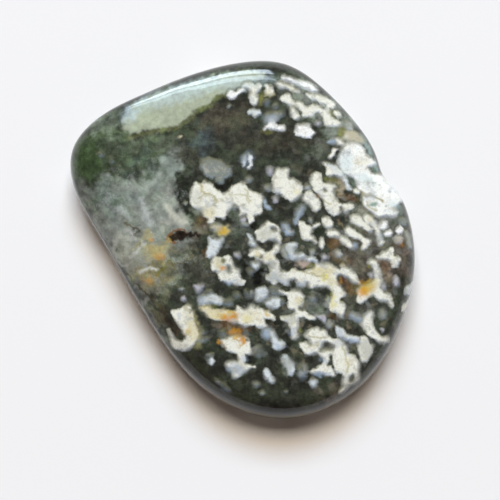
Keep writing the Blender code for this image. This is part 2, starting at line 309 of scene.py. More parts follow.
        ((20, 43), (22, 41), (24, 36), (27, 34), (28, 31), (26, 30), (23, 31.5), (20.5, 36)),
        ((39, 15.5), (41, 17), (44.5, 15), (46, 12), (48, 9), (51, 8.5), (50, 6.5), (47, 5.5), (44, 4.5),
         (41.5, 6.5), (41, 10), (39.5, 12)),
        ((59, 34), (61, 32), (60, 28), (58, 24), (56, 21), (54, 16), (52, 16), (51, 20), (53, 24), (54, 28),
         (56, 31)),
        ((109.5, -5), (112, -2.5), (114.5, -5), (112, -8.5)),
        ((108, -74.5), (112, -75), (119, -79), (120, -81.5), (114, -80), (109, -77.5)),
        ((20.5, -90.5), (22, -88.5), (26, -88.5), (28, -91), (28, -97), (26, -99), (22.5, -98),
         (20.5, -96)),
    ),
    "lilac": (
        ((25, 71), (28, 72.5), (30, 69), (29, 65.5), (26, 65)),
        ((73, 117), (75, 119), (77.5, 117), (75, 114.5)),
        ((-2.5, 20), (-1, 22.5), (2, 22.5), (3.7, 20), (2, 18), (-1, 18)),
        ((30, 42), (33, 43), (35, 40), (33.5, 37), (30.5, 38)),
        ((126, -34), (128, -32.5), (131, -34), (130, -38), (127, -38)),
        ((151, -38), (153, -35.5), (156, -38), (156.5, -42), (155, -46), (152, -46.5), (151, -42)),
        ((138, -46), (141, -44.5), (143, -47), (141, -49.5)),
        ((138, -89), (140, -88), (142, -90), (140, -92)),
        ((-9, -14), (-6.5, -13), (-4, -14), (-3.5, -17), (-6, -17.5)),
        ((79.5, -17), (81.5, -15), (84, -17), (83, -20), (80, -20)),
        ((73, -75.5), (78, -75.5), (82, -75), (83.5, -77), (83.5, -81), (82.5, -83.5), (80.5, -82),
         (78, -79.5), (75.5, -78)),
        ((-48, -45.5), (-44, -45.5), (-39, -46), (-41, -48.5), (-43, -51), (-45, -52.5), (-46.5, -50),
         (-48, -47)),
        ((-61, -58), (-58.5, -56.5), (-57, -59), (-59, -61)),
    ),
    "grey": (
        ((4, 60), (6, 62.5), (8, 60.5), (6, 58.5)),
        ((101, 118), (105, 119), (109, 116), (110, 111), (106, 108), (102, 111)),
        ((61, 53), (64, 55), (68, 54), (67, 51), (63, 50)),
        ((-9, 33.5), (-6, 35), (-3, 34), (-3.5, 32), (-8.5, 31.5)),
        ((-2, 16), (1, 18), (5, 17), (5, 14), (1, 13.5)),
        ((21, 53), (24, 54.5), (26.5, 54), (27, 51), (25.5, 49.5), (23, 50.5)),
        ((66, 21), (68, 22), (69.5, 20), (69, 17), (66.5, 17.5)),
        ((161, 8), (164, 9), (168, 3), (169, -7), (166, -8), (163, -1)),
        ((138, -72), (140, -71), (143, -76), (141, -79), (138, -76)),
        ((38, -9), (41, -6), (43, -10), (45, -15), (46, -20), (42, -18), (39, -13)),
        ((67, -9.5), (71, -9), (72.5, -11), (71, -14.5), (68, -15), (67, -12)),
        ((82.5, -60), (86, -57), (87.5, -62), (86, -66), (83, -65)),
        ((83.5, -84), (85.5, -80), (88.5, -82), (88.5, -87), (85, -87.5)),
        ((-15.5, 134), (-14, 135.7), (-12.5, 134), (-14, 132.5)),
        ((-59, 36), (-57.5, 38), (-55.8, 36.5), (-57, 34.3)),
        ((-63, -49), (-61, -47.8), (-58.5, -49), (-61, -50.3)),
        ((-136, 66), (-135, 67), (-134, 66), (-135, 65)),
        ((12, -145), (14, -143.8), (16, -145), (14, -146.4)),
        ((17.5, -154), (19, -153), (20.5, -154), (19, -155)),
        ((42.6, -152), (44, -151), (45.4, -152), (44, -153)),
    ),
    "slate": (
        ((22, 117), (22, 124), (27, 127), (33, 128), (38, 129), (40, 126), (36, 122), (34, 118)),
        ((155, 21), (160, 23), (164, 19), (163, 14), (158, 15.5)),
        ((-42, 72), (-41, 79), (-38, 81), (-34, 82), (-30, 81), (-25, 80), (-20, 78), (-17, 75), (-13, 72),
         (-11.5, 68), (-12, 65), (-15, 62.5), (-19, 61), (-19.5, 58.5), (-22, 56.5), (-26, 58.5),
         (-27.5, 61), (-28, 63), (-31, 61.5), (-34, 63), (-37, 65), (-40, 68)),
    ),
    "dim": (
        ((31, 134), (33, 136), (35, 134), (33, 132)),
        ((21, 139), (24, 142), (27, 139), (24, 136)),
        ((6.5, -30), (9, -29), (11, -31), (9, -33.5)),
        ((27, -47), (33, -47), (36, -50), (36, -54), (28, -54)),
        ((2, -52), (4, -50), (5.5, -53), (4, -55.5)),
        ((7, -53), (9, -51), (10.5, -53), (9, -55.5)),
        ((-7, -55), (-5, -53), (-3, -55), (-5, -57)),
        ((38, -59), (41, -60), (41.5, -63), (39, -64)),
        ((68, -57), (70, -55), (73, -57), (71, -59)),
        ((55, -129), (60, -126), (65, -130), (62, -138), (56, -136)),
        ((12, -109), (15, -107), (18, -110), (17, -117), (13, -114)),
        ((-36, -53), (-33, -50.5), (-30, -53), (-33, -55)),
        ((-20, -62), (-15, -60), (-11, -62), (-13, -65.5), (-18, -65)),
        ((-36, -116), (-32, -113.5), (-29, -115), (-31, -118.5)),
        ((-42, -92.5), (-40, -90.5), (-38, -92.5), (-40, -94.5)),
        ((-22, -93), (-20, -91), (-18, -93), (-20, -95)),
        ((-45, -97), (-41, -97), (-36, -99), (-40, -101.5), (-44, -101)),
        ((-144, 86), (-143, 87.2), (-141.8, 86), (-143, 84.8)),
        ((-132, 80), (-131, 81.2), (-129.8, 80), (-131, 78.8)),
        ((-27, -139), (-24, -141), (-18, -145), (-13, -149.5), (-15, -150.5), (-21, -146), (-26, -142)),
    ),
    "beige": (
        ((101, 108), (106, 110), (113, 109), (118, 104), (121, 97), (117, 96), (108, 98), (102, 100)),
        ((97, -26), (100, -23.5), (103, -25), (102, -28), (98, -28.5)),
        ((-33, 13), (-30, 16), (-25, 15.5), (-22, 13), (-22.5, 10.5), (-26, 9.5), (-31, 10)),
        ((-40.5, 58.5), (-38.5, 60.3), (-36.7, 58.5), (-38.5, 56.8)),
    ),
    "butter": (
        ((-42, -67), (-35, -66), (-28, -69), (-20, -70), (-14, -70.5), (-7, -71), (-5, -74), (-5, -82),
         (-9, -83), (-15, -82), (-21, -81), (-27, -81), (-31, -80), (-35, -76), (-38, -73), (-41, -71)),
        ((-64, 102.5), (-62.5, 104.3), (-60.8, 103.6), (-62, 102.2)),
    ),
    # Milky patches; the large one on the right shoulder is partly a real white patch and partly painted
    # reflection
    "milk_and_sheen": (
        ((101, 105), (105, 106), (107, 103), (104, 101), (101, 102)),
        ((99, 92), (103, 96), (110, 98), (117, 96), (121, 91), (124, 85), (130, 81), (133, 77), (129, 74),
         (125, 72.5), (127, 69), (133, 66), (146, 66), (157, 60), (166, 50), (162, 42), (157, 37),
         (153, 34), (151, 32), (154, 28), (153, 24.5), (148, 23.5), (141, 23.5), (136, 23), (130, 26.5),
         (124, 31), (120, 36), (119, 42), (118.5, 47), (116, 50), (114, 56), (112.5, 60), (107, 64),
         (102, 65.5), (98, 70), (95.5, 77), (96, 85)),
        ((152, 0), (154, 3.5), (158, 3.5), (160, 0), (158, -3.5), (154, -3.5)),
    ),
}

# Dark gaps inside patches
GAPS = (
    ((80.3, 50), (82, 51.8), (83.7, 50), (82, 48.2)),
    ((-9, 29), (-6.5, 32.3), (-3.7, 30), (-3.6, 26.5), (-6.5, 25), (-8.6, 26.5)),
    ((27, 11), (29, 13.5), (33, 13), (34.5, 10), (32, 8), (28.5, 9)),
    ((17.5, -15.5), (19.5, -15.5), (20.2, -18.5), (18, -20), (16.5, -19)),
    ((-17, -26), (-14, -25.3), (-12, -26), (-11, -29), (-12, -32), (-14, -33.5), (-16, -31), (-17.3, -28)),
    ((-21, -19.5), (-18.7, -18.5), (-17.5, -21), (-19, -23), (-21, -21.8)),
    ((56, -67), (59, -66), (62, -67), (62, -70), (58, -70.5), (56, -69)),
    ((56, -82), (56.5, -79.5), (59, -77.5), (61.5, -78), (60, -80), (58, -82)),
    ((76.5, -112.5), (76.5, -109.5), (79, -106.5), (81, -103), (83.5, -101.5), (87, -102.5), (91, -105),
     (92, -108), (90.5, -110.5), (88, -112), (85, -111), (80, -111.5)),
    ((87, -115), (89, -114.5), (90.5, -118), (91, -124), (92, -129), (90, -130), (88, -127), (85, -126),
     (84.5, -124.5), (86, -122), (86.5, -118)),
    ((106.5, -140), (107.5, -137), (110, -135.5), (111.5, -138), (110.5, -141), (108, -142.5)),
    ((102, 42), (107, 45), (113, 44), (117.5, 41), (114, 39), (106, 38.5)),
)

# Where small flecks crowd the body, and where frost does: middle, radii, turn in degrees and strength
FLECKS = (
    (75, -60, 120, 95, 0, 1.0),
    (120, 20, 50, 60, 0, 0.9),
    (0, -20, 50, 40, 0, 0.6),
    (60, 60, 60, 50, 0, 0.45),
    (-30, -70, 40, 40, 0, 0.5),
)
FROST = (
    (-110, 20, 50, 60, -20, 1.0),
    (-80, 60, 30, 35, 0, 0.9),
    (-80, -30, 35, 30, 0, 0.8),
    (-120, 100, 40, 20, 0, 0.35),
    (-20, 110, 50, 20, 0, 0.2),
    (-40, -30, 25, 20, 0, 0.4),
)

# Colours of stains, as sRGB; the frost colour is used for painted reflection on the shoulders
STAIN_COLOURS = {
    "gold": (205, 172, 70),
    "amber": (198, 138, 42),
    "orange": (218, 144, 32),
    "yellow": (226, 218, 128),
    "straw": (214, 204, 150),
    "olive": (132, 132, 72),
    "brown": (112, 88, 60),
    "rust": (92, 52, 40),
    "umber": (62, 52, 42),
    "blue": (150, 172, 200),
    "ash": (152, 156, 146),
    "sea": (112, 146, 130),
    "frost": (200, 222, 226),
    "pink": (200, 180, 170),
}

# Soft stains, on the patches and the body alike, some of them painted reflection as marked: colour, middle,
# radii, turn in degrees and strength
STAINS = (
    # These three frost stains along the top-left rim are painted reflection: the window's pale veil over the
    # shoulder, and the bright left end of its highlight
    ("frost", -62, 147, 58, 10, 17, 0.5),
    ("frost", 0, 157, 34, 8, 6, 0.4),
    ("frost", -112, 125, 14, 7, 35, 0.6),
    ("ash", -20, -27, 7, 9, 0, 0.45),
    ("ash", 31, -38, 12, 6, 0, 0.5),
    ("ash", 46, -10, 8, 7, 0, 0.4),
    ("ash", 23, 6, 11, 8, 20, 0.42),
    ("ash", -46, 42, 7, 10, 0, 0.3),
    ("ash", -43, 29, 9, 6, 0, 0.55),
    ("ash", 46, -80, 7, 11, 0, 0.45),
    ("ash", 123, -109, 8, 13, 0, 0.5),
    ("ash", -4, -130, 10, 7, 0, 0.4),
    ("ash", -33, -60, 9, 4, 0, 0.3),
    ("olive", 17.5, 141, 3, 7, 0, 0.7),
    ("straw", 26, 146, 6, 3, 0, 0.6),
    ("straw", 50, 150, 8, 2.5, -30, 0.35),
    ("olive", 25, 108, 6, 3, 0, 0.5),
    ("blue", 4, 80, 8, 9, 0, 0.35),
    ("blue", 27, 122, 8, 5, 0, 0.3),
    ("yellow", 54.5, 48, 4, 3.5, 0, 0.3),
    ("olive", 88.5, 127, 3, 6, 0, 0.6),
    ("olive", 99, 108, 5, 7, 0, 0.75),
    # These two frost stains on the right shoulder are painted reflection
    ("frost", 103, 77, 9, 13, 0, 0.5),
    ("frost", 122, 60, 13, 7, -30, 0.45),
    ("sea", 128, 58, 6, 3, -15, 0.2),
    ("straw", 119, 79, 9, 6, 0, 0.3),
    ("sea", 130, 35.3, 4.6, 3.2, 0, 0.85),
    # Painted reflection on the right shoulder
    ("frost", 150, 33, 6, 8, 0, 0.4),
    ("olive", 89, 60, 10, 4, 0, 0.5),
    ("amber", 76, 43, 3, 2.5, 0, 0.35),
    ("olive", -36, 44.5, 3.5, 2.2, 0, 0.45),
    ("olive", -27.5, 41, 3.5, 2.5, -20, 0.55),
    ("olive", -28.5, 34, 3.5, 1.6, 0, 0.75),
    ("olive", -21, 39, 2, 2, 0, 0.45),
    ("straw", -33, 28, 7, 8, 0, 0.55),
    ("straw", -41, 51, 2, 5, 0, 0.35),
    ("olive", 0.5, 33.5, 3.5, 2.2, 0, 0.4),
    ("straw", -20, 9, 8.5, 6.5, 0, 0.8),
    ("gold", -20, 9.2, 5.5, 4.2, 0, 1.0),
    ("umber", -31.5, 9, 2.6, 1.8, 0, 0.9),
    ("umber", -28, 2.5, 5, 1.6, 0, 0.8),
    ("brown", -41, 18, 8, 7, 0, 0.5),
    ("umber", -37.5, 21, 2, 2, 0, 0.8),
    ("umber", -41, 15, 3.5, 2, 20, 0.6),
    ("brown", -38, -12, 2.2, 6, 0, 0.8),
    ("orange", -20, -28.5, 3.5, 2.2, 0, 0.85),
    ("straw", -25, -23, 4.5, 6, 0, 0.6),
    ("olive", -19.5, -21, 3, 2.5, 0, 0.7),
    ("straw", 15, -15, 4, 4, 0, 0.7),
    ("olive", 13.5, -18, 3.5, 2, 0, 0.6),
    ("olive", 30, -24, 4, 4.5, 0, 0.7),
    ("straw", 26, -18, 6, 5, 0, 0.4),
    ("pink", 60, -24, 7, 4.5, 0, 0.75),
    ("ash", 109, -139, 5, 5, 0, 0.6),
    ("olive", 68, -26.5, 5, 3, 10, 0.8),
    ("straw", 80, -31, 14, 6, 0, 0.75),
    ("yellow", 82, -38, 4, 4.5, -20, 0.95),
    ("straw", 89, -42, 5, 6, 0, 0.5),
    ("yellow", 90.5, -62, 3.5, 9, 0, 0.6),
    ("amber", 97, -42, 3, 5, -10, 0.6),
    ("umber", 97, -37.5, 2.4, 2.2, 0, 0.9),
    ("rust", 102, -40, 4, 4, 0, 0.9),
    ("brown", 106, -48, 6, 9, 20, 0.75),
    ("amber", 119, -43, 6, 2.5, 10, 0.5),
    ("gold", 124, -49, 11, 8, 30, 0.85),
    ("orange", 120, -52, 5.5, 7, -20, 0.7),
    ("gold", 125, -46, 10, 6, 45, 0.5),
    ("straw", 131, -43, 7, 4, 20, 0.6),
    ("brown", 91, -3, 8, 6, 0, 0.85),
    ("brown", 91, -13, 5, 6, 0, 0.8),
    ("brown", 100, -21, 14, 4, 0, 0.5),
    ("brown", 105, 42, 12, 4, -10, 0.75),
    ("rust", 109, 42, 3.5, 3, 0, 0.6),
    ("brown", 157, -2, 7, 7, 0, 0.6),
    ("amber", 159, -5, 2.5, 2, 0, 0.5),
    ("brown", 142, -28, 5, 8, 0, 0.6),
    ("umber", 146, -44, 4, 10, 15, 0.6),
    ("olive", 127, -27, 2.6, 3.4, 0, 0.9),
    ("olive", 99, -62.5, 3, 1.8, 0, 0.6),
    ("brown", 91, -77, 7, 5, 0, 0.6),
    ("olive", 57.5, -90, 2, 2.5, 0, 0.6),
    ("straw", 56, -62, 4, 6, 0, 0.5),
    ("olive", 59.5, -62, 1.6, 5, 0, 0.6),
    ("straw", 72, -106, 6, 3, 0, 0.6),
    ("olive", 83, -109.5, 5, 1.6, 0, 0.7),
    ("straw", 105, -123, 6, 5, 0, 0.25),
    ("olive", 70.5, -140, 2.2, 1.4, 0, 0.6),
    ("yellow", 4, -80, 5, 5, 0, 0.55),
    ("straw", 8, -77, 12, 7, 0, 0.4),
    ("gold", 24.5, -74.5, 2.2, 4.5, 25, 0.7),
    ("amber", -9, -77, 5, 6, 0, 0.85),
    ("orange", -16, -78.5, 7, 4, 0, 0.95),
    ("gold", -13, -73, 4, 3, 0, 0.7),
    ("pink", -22, -71.5, 6, 2, 0, 0.5),
    ("gold", -22, -77, 5, 4, 0, 0.45),
    ("olive", -33, -67, 8, 2, 0, 0.4),
    ("brown", -16, -86, 14, 4.5, 0, 0.75),
    ("brown", -2, -90, 12, 5, 0, 0.6),
    ("orange", -4, -96, 8, 3, -10, 0.8),
    ("amber", -8, -92, 8, 3, 10, 0.6),
    ("orange", 1, -101, 3, 4.5, 10, 0.85),
    ("gold", -7, -98, 4, 2.5, 30, 0.7),
    ("gold", -2, -106, 3, 2, 0, 0.6),
    ("umber", 4.5, -101.5, 2.2, 1.6, 0, 0.85),
    ("amber", -22.5, -103, 3.5, 2.4, 0, 0.6),
    ("brown", -18, -107, 1.8, 3, 0, 0.7),
    ("straw", -50, -88, 8, 20, 12, 0.6),
    ("gold", -55, -93, 4, 4, 0, 0.55),
    ("olive", -56, -69, 4, 4, 0, 0.45),
    ("umber", -52.5, -72, 2, 2, 0, 0.8),
    ("rust", -59, -97, 1.3, 3.5, 38, 0.8),
    ("amber", -83, -17, 6, 4, 0, 0.45),
    ("amber", -94, -41, 7, 4.5, 10, 0.4),
    ("amber", -92, 0, 2.2, 2, 0, 0.7),
    ("gold", -88, -12, 11, 9, 0, 0.2),
    ("olive", -80, -30, 6, 4, 40, 0.5),
    ("gold", -75, -1, 2.2, 3.2, 0, 0.3),
    ("blue", 37, -107, 6, 2.5, 0, 0.5),
    ("blue", 18, -87, 5, 1.8, 0, 0.6),
    ("blue", -10, -42, 10, 2.5, 0, 0.5),
    ("blue", -41, -60, 4, 5, 0, 0.55),
    ("blue", 82, -121, 4, 5, 0, 0.4),
    ("blue", 80, -134.5, 11, 2.2, 0, 0.6),
    ("blue", 1, -119, 4, 5, 0, 0.4),
    ("blue", 50, -93, 4, 6, 0, 0.5),
    ("blue", 58, -45, 5, 3, 0, 0.6),
    ("blue", 108, -101, 12, 2.4, -8, 0.7),
    ("ash", 45, -126, 6, 10, 0, 0.5),
    ("blue", 47, -17, 3, 3, 0, 0.5),
    ("blue", 138, 2, 2, 6, 10, 0.4),
    ("straw", 128, 18, 3, 7, 40, 0.3),
    ("blue", 42, -43, 5, 3, 0, 0.5),
    ("blue", 30, -38, 6, 6, 0, 0.35),
    ("blue", -7, -130, 10, 7, 0, 0.5),
)

# The body's colour, as sRGB, and the soft clouds in it, a few of them painted light as marked: colour,
# middle, radii, turn in degrees and strength
BODY = (58, 62, 54)
CLOUDS = (
    # The first two clouds darken the body towards the bottom; the second, a near-black band along the bottom
    # rim, is painted shade
    ((49, 51, 44), 20, -150, 90, 36, 0, 0.95),
    ((26, 27, 23), 25, -175, 90, 9, 0, 0.9),
    ((44, 45, 38), -45, -122, 30, 22, -40, 0.85),
    ((94, 86, 78), 88, -155, 16, 11, 35, 0.85),
    ((56, 60, 54), 30, -108, 26, 14, 0, 0.6),
    ((86, 81, 70), -18, 121, 36, 14, 20, 0.8),
    ((76, 86, 88), -41, 99, 14, 15, 0, 0.9),
    ((70, 73, 60), -56, 84, 11, 12, 0, 0.8),
    ((72, 70, 60), 28, 98, 50, 13, 0, 0.7),
    ((100, 102, 97), 78, 90, 14, 8, 0, 0.6),
    # These two pale clouds on the upper right shoulder are painted reflection, a sheen over the dark body
    ((142, 150, 140), 62, 142, 30, 16, -25, 0.8),
    ((144, 152, 142), 92, 118, 18, 24, 30, 0.85),
    ((166, 156, 136), 99, 52, 10, 9, 0, 0.9),
    ((150, 152, 138), 118, 27, 15, 11, 0, 0.8),
    ((96, 98, 86), 122, 8, 16, 11, 0, 0.8),
    ((100, 96, 86), 128, -8, 30, 28, 0, 0.8),
    ((112, 114, 104), 149, 8, 14, 18, 0, 0.8),
    ((70, 76, 66), 150, 17, 6, 8, 0, 0.9),
    ((80, 84, 76), 145, -2, 7, 6, 0, 0.8),
    ((120, 112, 102), 160, -8, 12, 28, 0, 0.8),
    ((56, 62, 52), 34, 80, 20, 12, 0, 0.7),
    ((60, 70, 66), -5, 60, 10, 5, 0, 0.6),
    ((50, 52, 47), 45, 27, 22, 12, 0, 0.7),
    ((20, 21, 21), 16, -34, 14, 13, 0, 1.0),
    ((40, 42, 38), 34, -88, 11, 13, 0, 0.9),
    ((44, 46, 40), -4, -52, 16, 8, 0, 0.8),
    ((36, 38, 34), 10, 11, 8, 8, 0, 0.9),
    ((84, 88, 80), 62, -8, 16, 8, 0, 0.6),
    ((102, 98, 88), 103, -18, 14, 10, 0, 0.7),
    ((122, 128, 120), 72, -65, 16, 12, 0, 0.7),
    ((48, 51, 45), 76, -52, 11, 3.5, 0, 0.9),
    ((38, 40, 35), 46, -106, 11, 13, 0, 0.9),
    ((42, 43, 38), 104, -68, 5, 5, 0, 0.7),
    ((36, 38, 33), 46, -48, 8, 4, 0, 0.8),
    ((38, 40, 36), -20, -108, 12, 8, 0, 0.8),
    ((104, 103, 92), 106, -62, 9, 10, 0, 0.5),
    ((84, 82, 74), 130, -66, 14, 8, 0, 0.6),
    ((136, 122, 110), 144, -32, 11, 17, 0, 0.8),
    ((108, 102, 92), 119, -30, 12, 12, 0, 0.7),
    ((92, 84, 74), 160, -28, 8, 14, 0, 0.7),
    ((108, 112, 104), 152, 20, 18, 16, 0, 0.5),
    ((64, 64, 58), 112, -88, 16, 8, 0, 0.6),
    ((92, 90, 76), 110, -108, 8, 7, 0, 0.6),
    ((58, 60, 52), 68, -122, 12, 9, 0, 0.8),
    ((60, 76, 50), -152, 78, 20, 28, 20, 0.95),
    ((76, 87, 70), -124, 92, 24, 14, 0, 0.9),
    ((112, 122, 108), -138, 114, 16, 12, 30, 0.85),
    ((97, 108, 88), -104, 97, 16, 9, 0, 0.8),
    ((93, 102, 86), -80, 98, 18, 12, 0, 0.8),
    ((82, 96, 84), -100, 80, 16, 9, 0, 0.8),
    ((74, 88, 76), -116, 62, 12, 8, 0, 0.85),
    ((94, 106, 96), -90, 68, 10, 9, 0, 0.8),
    ((138, 150, 142), -73, 78, 12, 11, 30, 0.95),
    ((124, 134, 128), -86, 56, 16, 12, 0, 0.8),
    ((100, 112, 104), -138, 44, 18, 15, 0, 0.9),
    ((122, 133, 126), -111, 44, 12, 10, 0, 0.85),
    ((121, 130, 124), -130, 28, 14, 13, 0, 0.9),
    ((100, 108, 100), -150, 34, 7, 16, -30, 0.8),
    ((142, 149, 142), -91, 30, 15, 13, 0, 0.95),
    ((150, 155, 146), -72, 40, 9, 14, 0, 0.7),
    ((164, 168, 156), -70, 18, 14, 11, 0, 0.9),
    ((134, 140, 135), -136, 8, 12, 15, -30, 0.9),
    ((100, 103, 88), -108, 9, 8, 6, 0, 0.8),
    ((170, 173, 162), -119, -8, 12, 15, -20, 0.95),
    ((156, 158, 144), -110, -24, 11, 12, -30, 0.85),
    ((166, 160, 124), -92, -8, 14, 12, 0, 0.95),
    ((146, 138, 98), -93, -34, 14, 14, -20, 0.9),
    ((124, 119, 84), -77, -28, 12, 12, 0, 0.85),
    ((136, 134, 108), -74, -11, 10, 9, 0, 0.8),
    ((110, 111, 98), -58, -12, 12, 11, 0, 0.85),
    ((118, 112, 98), -47, -17, 5, 6, -20, 0.5),
    ((62, 66, 58), -54, -16, 4.5, 4.5, 0, 0.7),
    ((60, 62, 52), -66, -17, 3.5, 4, 0, 0.6),
    ((104, 108, 88), -66, -34, 9, 9, 0, 0.6),
    ((72, 72, 58), -62, -44, 8, 6, 0, 0.7),
    ((78, 79, 68), -42, -32, 16, 14, 0, 0.7),
    ((90, 90, 80), -34, -44, 9, 6, 0, 0.5),
    ((112, 106, 92), -44, 7, 9, 9, 0, 0.7),
    ((98, 104, 96), 0, 8, 9, 8, 0, 0.7),
    ((114, 112, 92), -81, -51, 12, 9, -30, 0.7),
    ((96, 92, 76), -80, -70, 9, 10, -30, 0.6),
    ((134, 136, 128), -99, -66, 8, 11, -32, 0.9),
    ((128, 130, 122), -88, -84, 8, 16, -32, 0.8),
    ((84, 80, 60), -82, -76, 5, 15, -32, 0.8),
    ((128, 128, 118), -76, -104, 6, 12, -35, 0.6),
    ((78, 70, 58), -66, -90, 6, 8, -35, 0.85),
    ((70, 72, 62), -60, -58, 9, 5, 0, 0.6),
    ((100, 106, 98), -7, 20, 7, 9, 0, 0.7),
)

# The broad zones under the clouds, with loose edges, in the same form as ZONES
BASES = (
    ((132, 138, 130), 7.0,
     ((-150, 62), (-128, 66), (-108, 60), (-98, 70), (-80, 80), (-66, 92), (-57, 90), (-59, 72), (-68, 60),
      (-67, 40), (-60, 28), (-48, 20), (-46, 8), (-50, -5), (-56, -12), (-60, -22), (-62, -34), (-70, -44),
      (-82, -50), (-94, -58), (-104, -50), (-122, -30), (-134, -8), (-146, 14), (-160, 40))),
    ((74, 84, 66), 6.0,
     ((-175, 60), (-150, 66), (-128, 68), (-106, 64), (-96, 74), (-78, 84), (-62, 96), (-54, 112),
      (-70, 112), (-110, 104), (-126, 112), (-120, 128), (-150, 128), (-180, 95))),
)

# Zones with edges of their own: colour, as sRGB, softness in tenths of a millimetre, and an outline
ZONES = (
    ((172, 181, 158), 3.0,
     ((-112, 129), (-119, 121), (-120, 112), (-112, 107), (-104, 108), (-99, 109.5), (-90, 109.5),
      (-80, 111), (-66, 113), (-60, 118), (-53, 122), (-49, 127), (-44, 131.5), (-38, 133.5), (-32, 136),
      (-29.5, 140), (-26, 144), (-21, 145.5), (-17, 146.5), (-8, 150), (0, 154), (8, 158), (18, 161),
      (22, 166), (10, 170), (-5, 169), (-25, 165), (-40, 161), (-55, 157), (-70, 152), (-85, 147),
      (-100, 140), (-112, 134))),
    ((42, 47, 39), 2.6,
     ((-68, 66), (-66.5, 50), (-65.5, 42), (-63, 36), (-60, 31), (-59, 27), (-56, 24), (-50, 23.5),
      (-44, 25.5), (-41, 27), (-43, 29.5), (-49, 31), (-53.5, 36), (-55, 45), (-53, 52), (-57, 58),
      (-61, 66), (-65, 69))),
    ((44, 36, 30), 1.2,
     ((-75, 2), (-70, 6), (-66, 9), (-60, 9.5), (-56, 7), (-50, 8), (-47, 7), (-42, 5.5), (-43, 3.2),
      (-47, 3.5), (-52, 2.5), (-57, 1), (-60, -1), (-66, -1), (-69, -3), (-73, -1))),
    ((34, 35, 31), 1.6,
     ((-30, 56), (-27, 51.5), (-21, 48), (-17, 49), (-12, 54), (-10, 62), (-16, 58), (-24, 56))),
    ((38, 42, 36), 1.5,
     ((69.5, 7), (72, 11), (76, 12), (81, 11), (83, 8), (82, 4), (79, 2), (76, 1), (73, 3), (71, 5))),
    ((98, 112, 98), 2.2,
     ((101, 66), (105, 64.5), (109, 62.5), (113, 59), (116, 53), (115, 50), (111, 51), (108, 54),
      (105, 60))),
    # A pale blue strip along the right rim: partly the stone's colour and partly painted reflection
    ((150, 172, 168), 2.4,
     ((119, 106), (124, 98), (128, 90), (131, 82), (134, 76), (135, 69), (132, 67), (129, 70), (129, 75),
      (127, 82), (124, 89), (121, 96), (117, 103))),
    ((96, 116, 108), 1.6, ((127.5, 72), (131, 73.5), (134, 70), (133.5, 67), (130.5, 67.5))),
    ((112, 124, 116), 1.8, ((150, 33), (153, 35), (157, 36), (160, 30), (160, 22), (155, 24), (153, 29))),
    ((42, 44, 36), 1.5, ((23, -80), (28, -80), (30, -84), (29, -88), (25, -88), (23.5, -84))),
    ((34, 35, 31), 2.0, ((3, -117), (8, -116), (12, -110), (14, -118), (12, -124), (6, -124))),
    ((40, 46, 40), 1.6,
     ((20, -61), (25, -58.5), (30, -56.5), (36, -55.5), (42, -57), (45, -61), (45, -68), (40, -70),
      (40, -64), (41, -60), (36, -57.5), (29, -57.5), (24, -61))),
)

# Veins: colour, as sRGB, half width and softness in tenths of a millimetre, and the line that they follow
VEINS = (
    ((104, 110, 74), 1.1, 2.8,
     ((-113, 102), (-104, 105), (-90, 108.5), (-80, 110), (-66, 112), (-59, 117), (-52, 121.5),
      (-48, 126.5), (-43, 130.5), (-37, 132.5), (-31, 135.5), (-28, 140), (-25, 143), (-20, 144.5))),
    ((196, 198, 190), 0.7, 2.8, ((-112, -18), (-107, -13), (-103, -8), (-98, -3))),
    ((206, 208, 198), 0.8, 2.0, ((-103, -33), (-97, -30), (-91, -29), (-86, -30))),
    ((172, 175, 168), 0.8, 3.4, ((-127, -20), (-129, -8), (-125, 3), (-119, 9), (-113, 8), (-108, 1))),
    ((170, 173, 165), 0.6, 3.0, ((-127, -20), (-121, -26), (-113, -24), (-109, -17))),
    ((146, 134, 66), 0.9, 1.8, ((-86, -37), (-81, -30), (-78, -22))),
    ((172, 179, 176), 1.6, 4.5, ((-101, 40), (-98, 31), (-95, 22), (-92, 15))),
    ((160, 167, 164), 1.0, 3.6, ((-124, 32), (-119, 27), (-113, 21))),
    ((190, 192, 178), 2.0, 3.0, ((-77, 34), (-71, 26), (-64, 20), (-57, 17))),
    ((150, 158, 150), 1.0, 4.4, ((-120, 58), (-110, 52), (-100, 50), (-91, 56), (-82, 66))),
    ((132, 88, 52), 0.4, 0.9,
     ((-66, -1.6), (-70, -3.6), (-74, -1.8), (-76, 2), (-71, 6.8), (-66.5, 9.8), (-60, 10.3), (-56, 7.8))),
    ((84, 78, 58), 0.7, 0.9, ((-119, -32), (-115, -35), (-104, -47), (-95, -55), (-89, -60), (-83, -68))),
    ((96, 92, 76), 0.8, 1.0, ((-117, 16), (-111, 13), (-104, 9), (-106, 6), (-108, 4))),
    ((70, 64, 50), 1.0, 1.2, ((-83, -66), (-78, -76), (-72, -86), (-68, -96))),
    ((110, 96, 78), 0.7, 0.8, ((95, 20), (98, 15), (102, 10))),
    ((104, 100, 78), 0.8, 1.2, ((-74, -22), (-66, -24), (-58, -21), (-50, -16))),
)

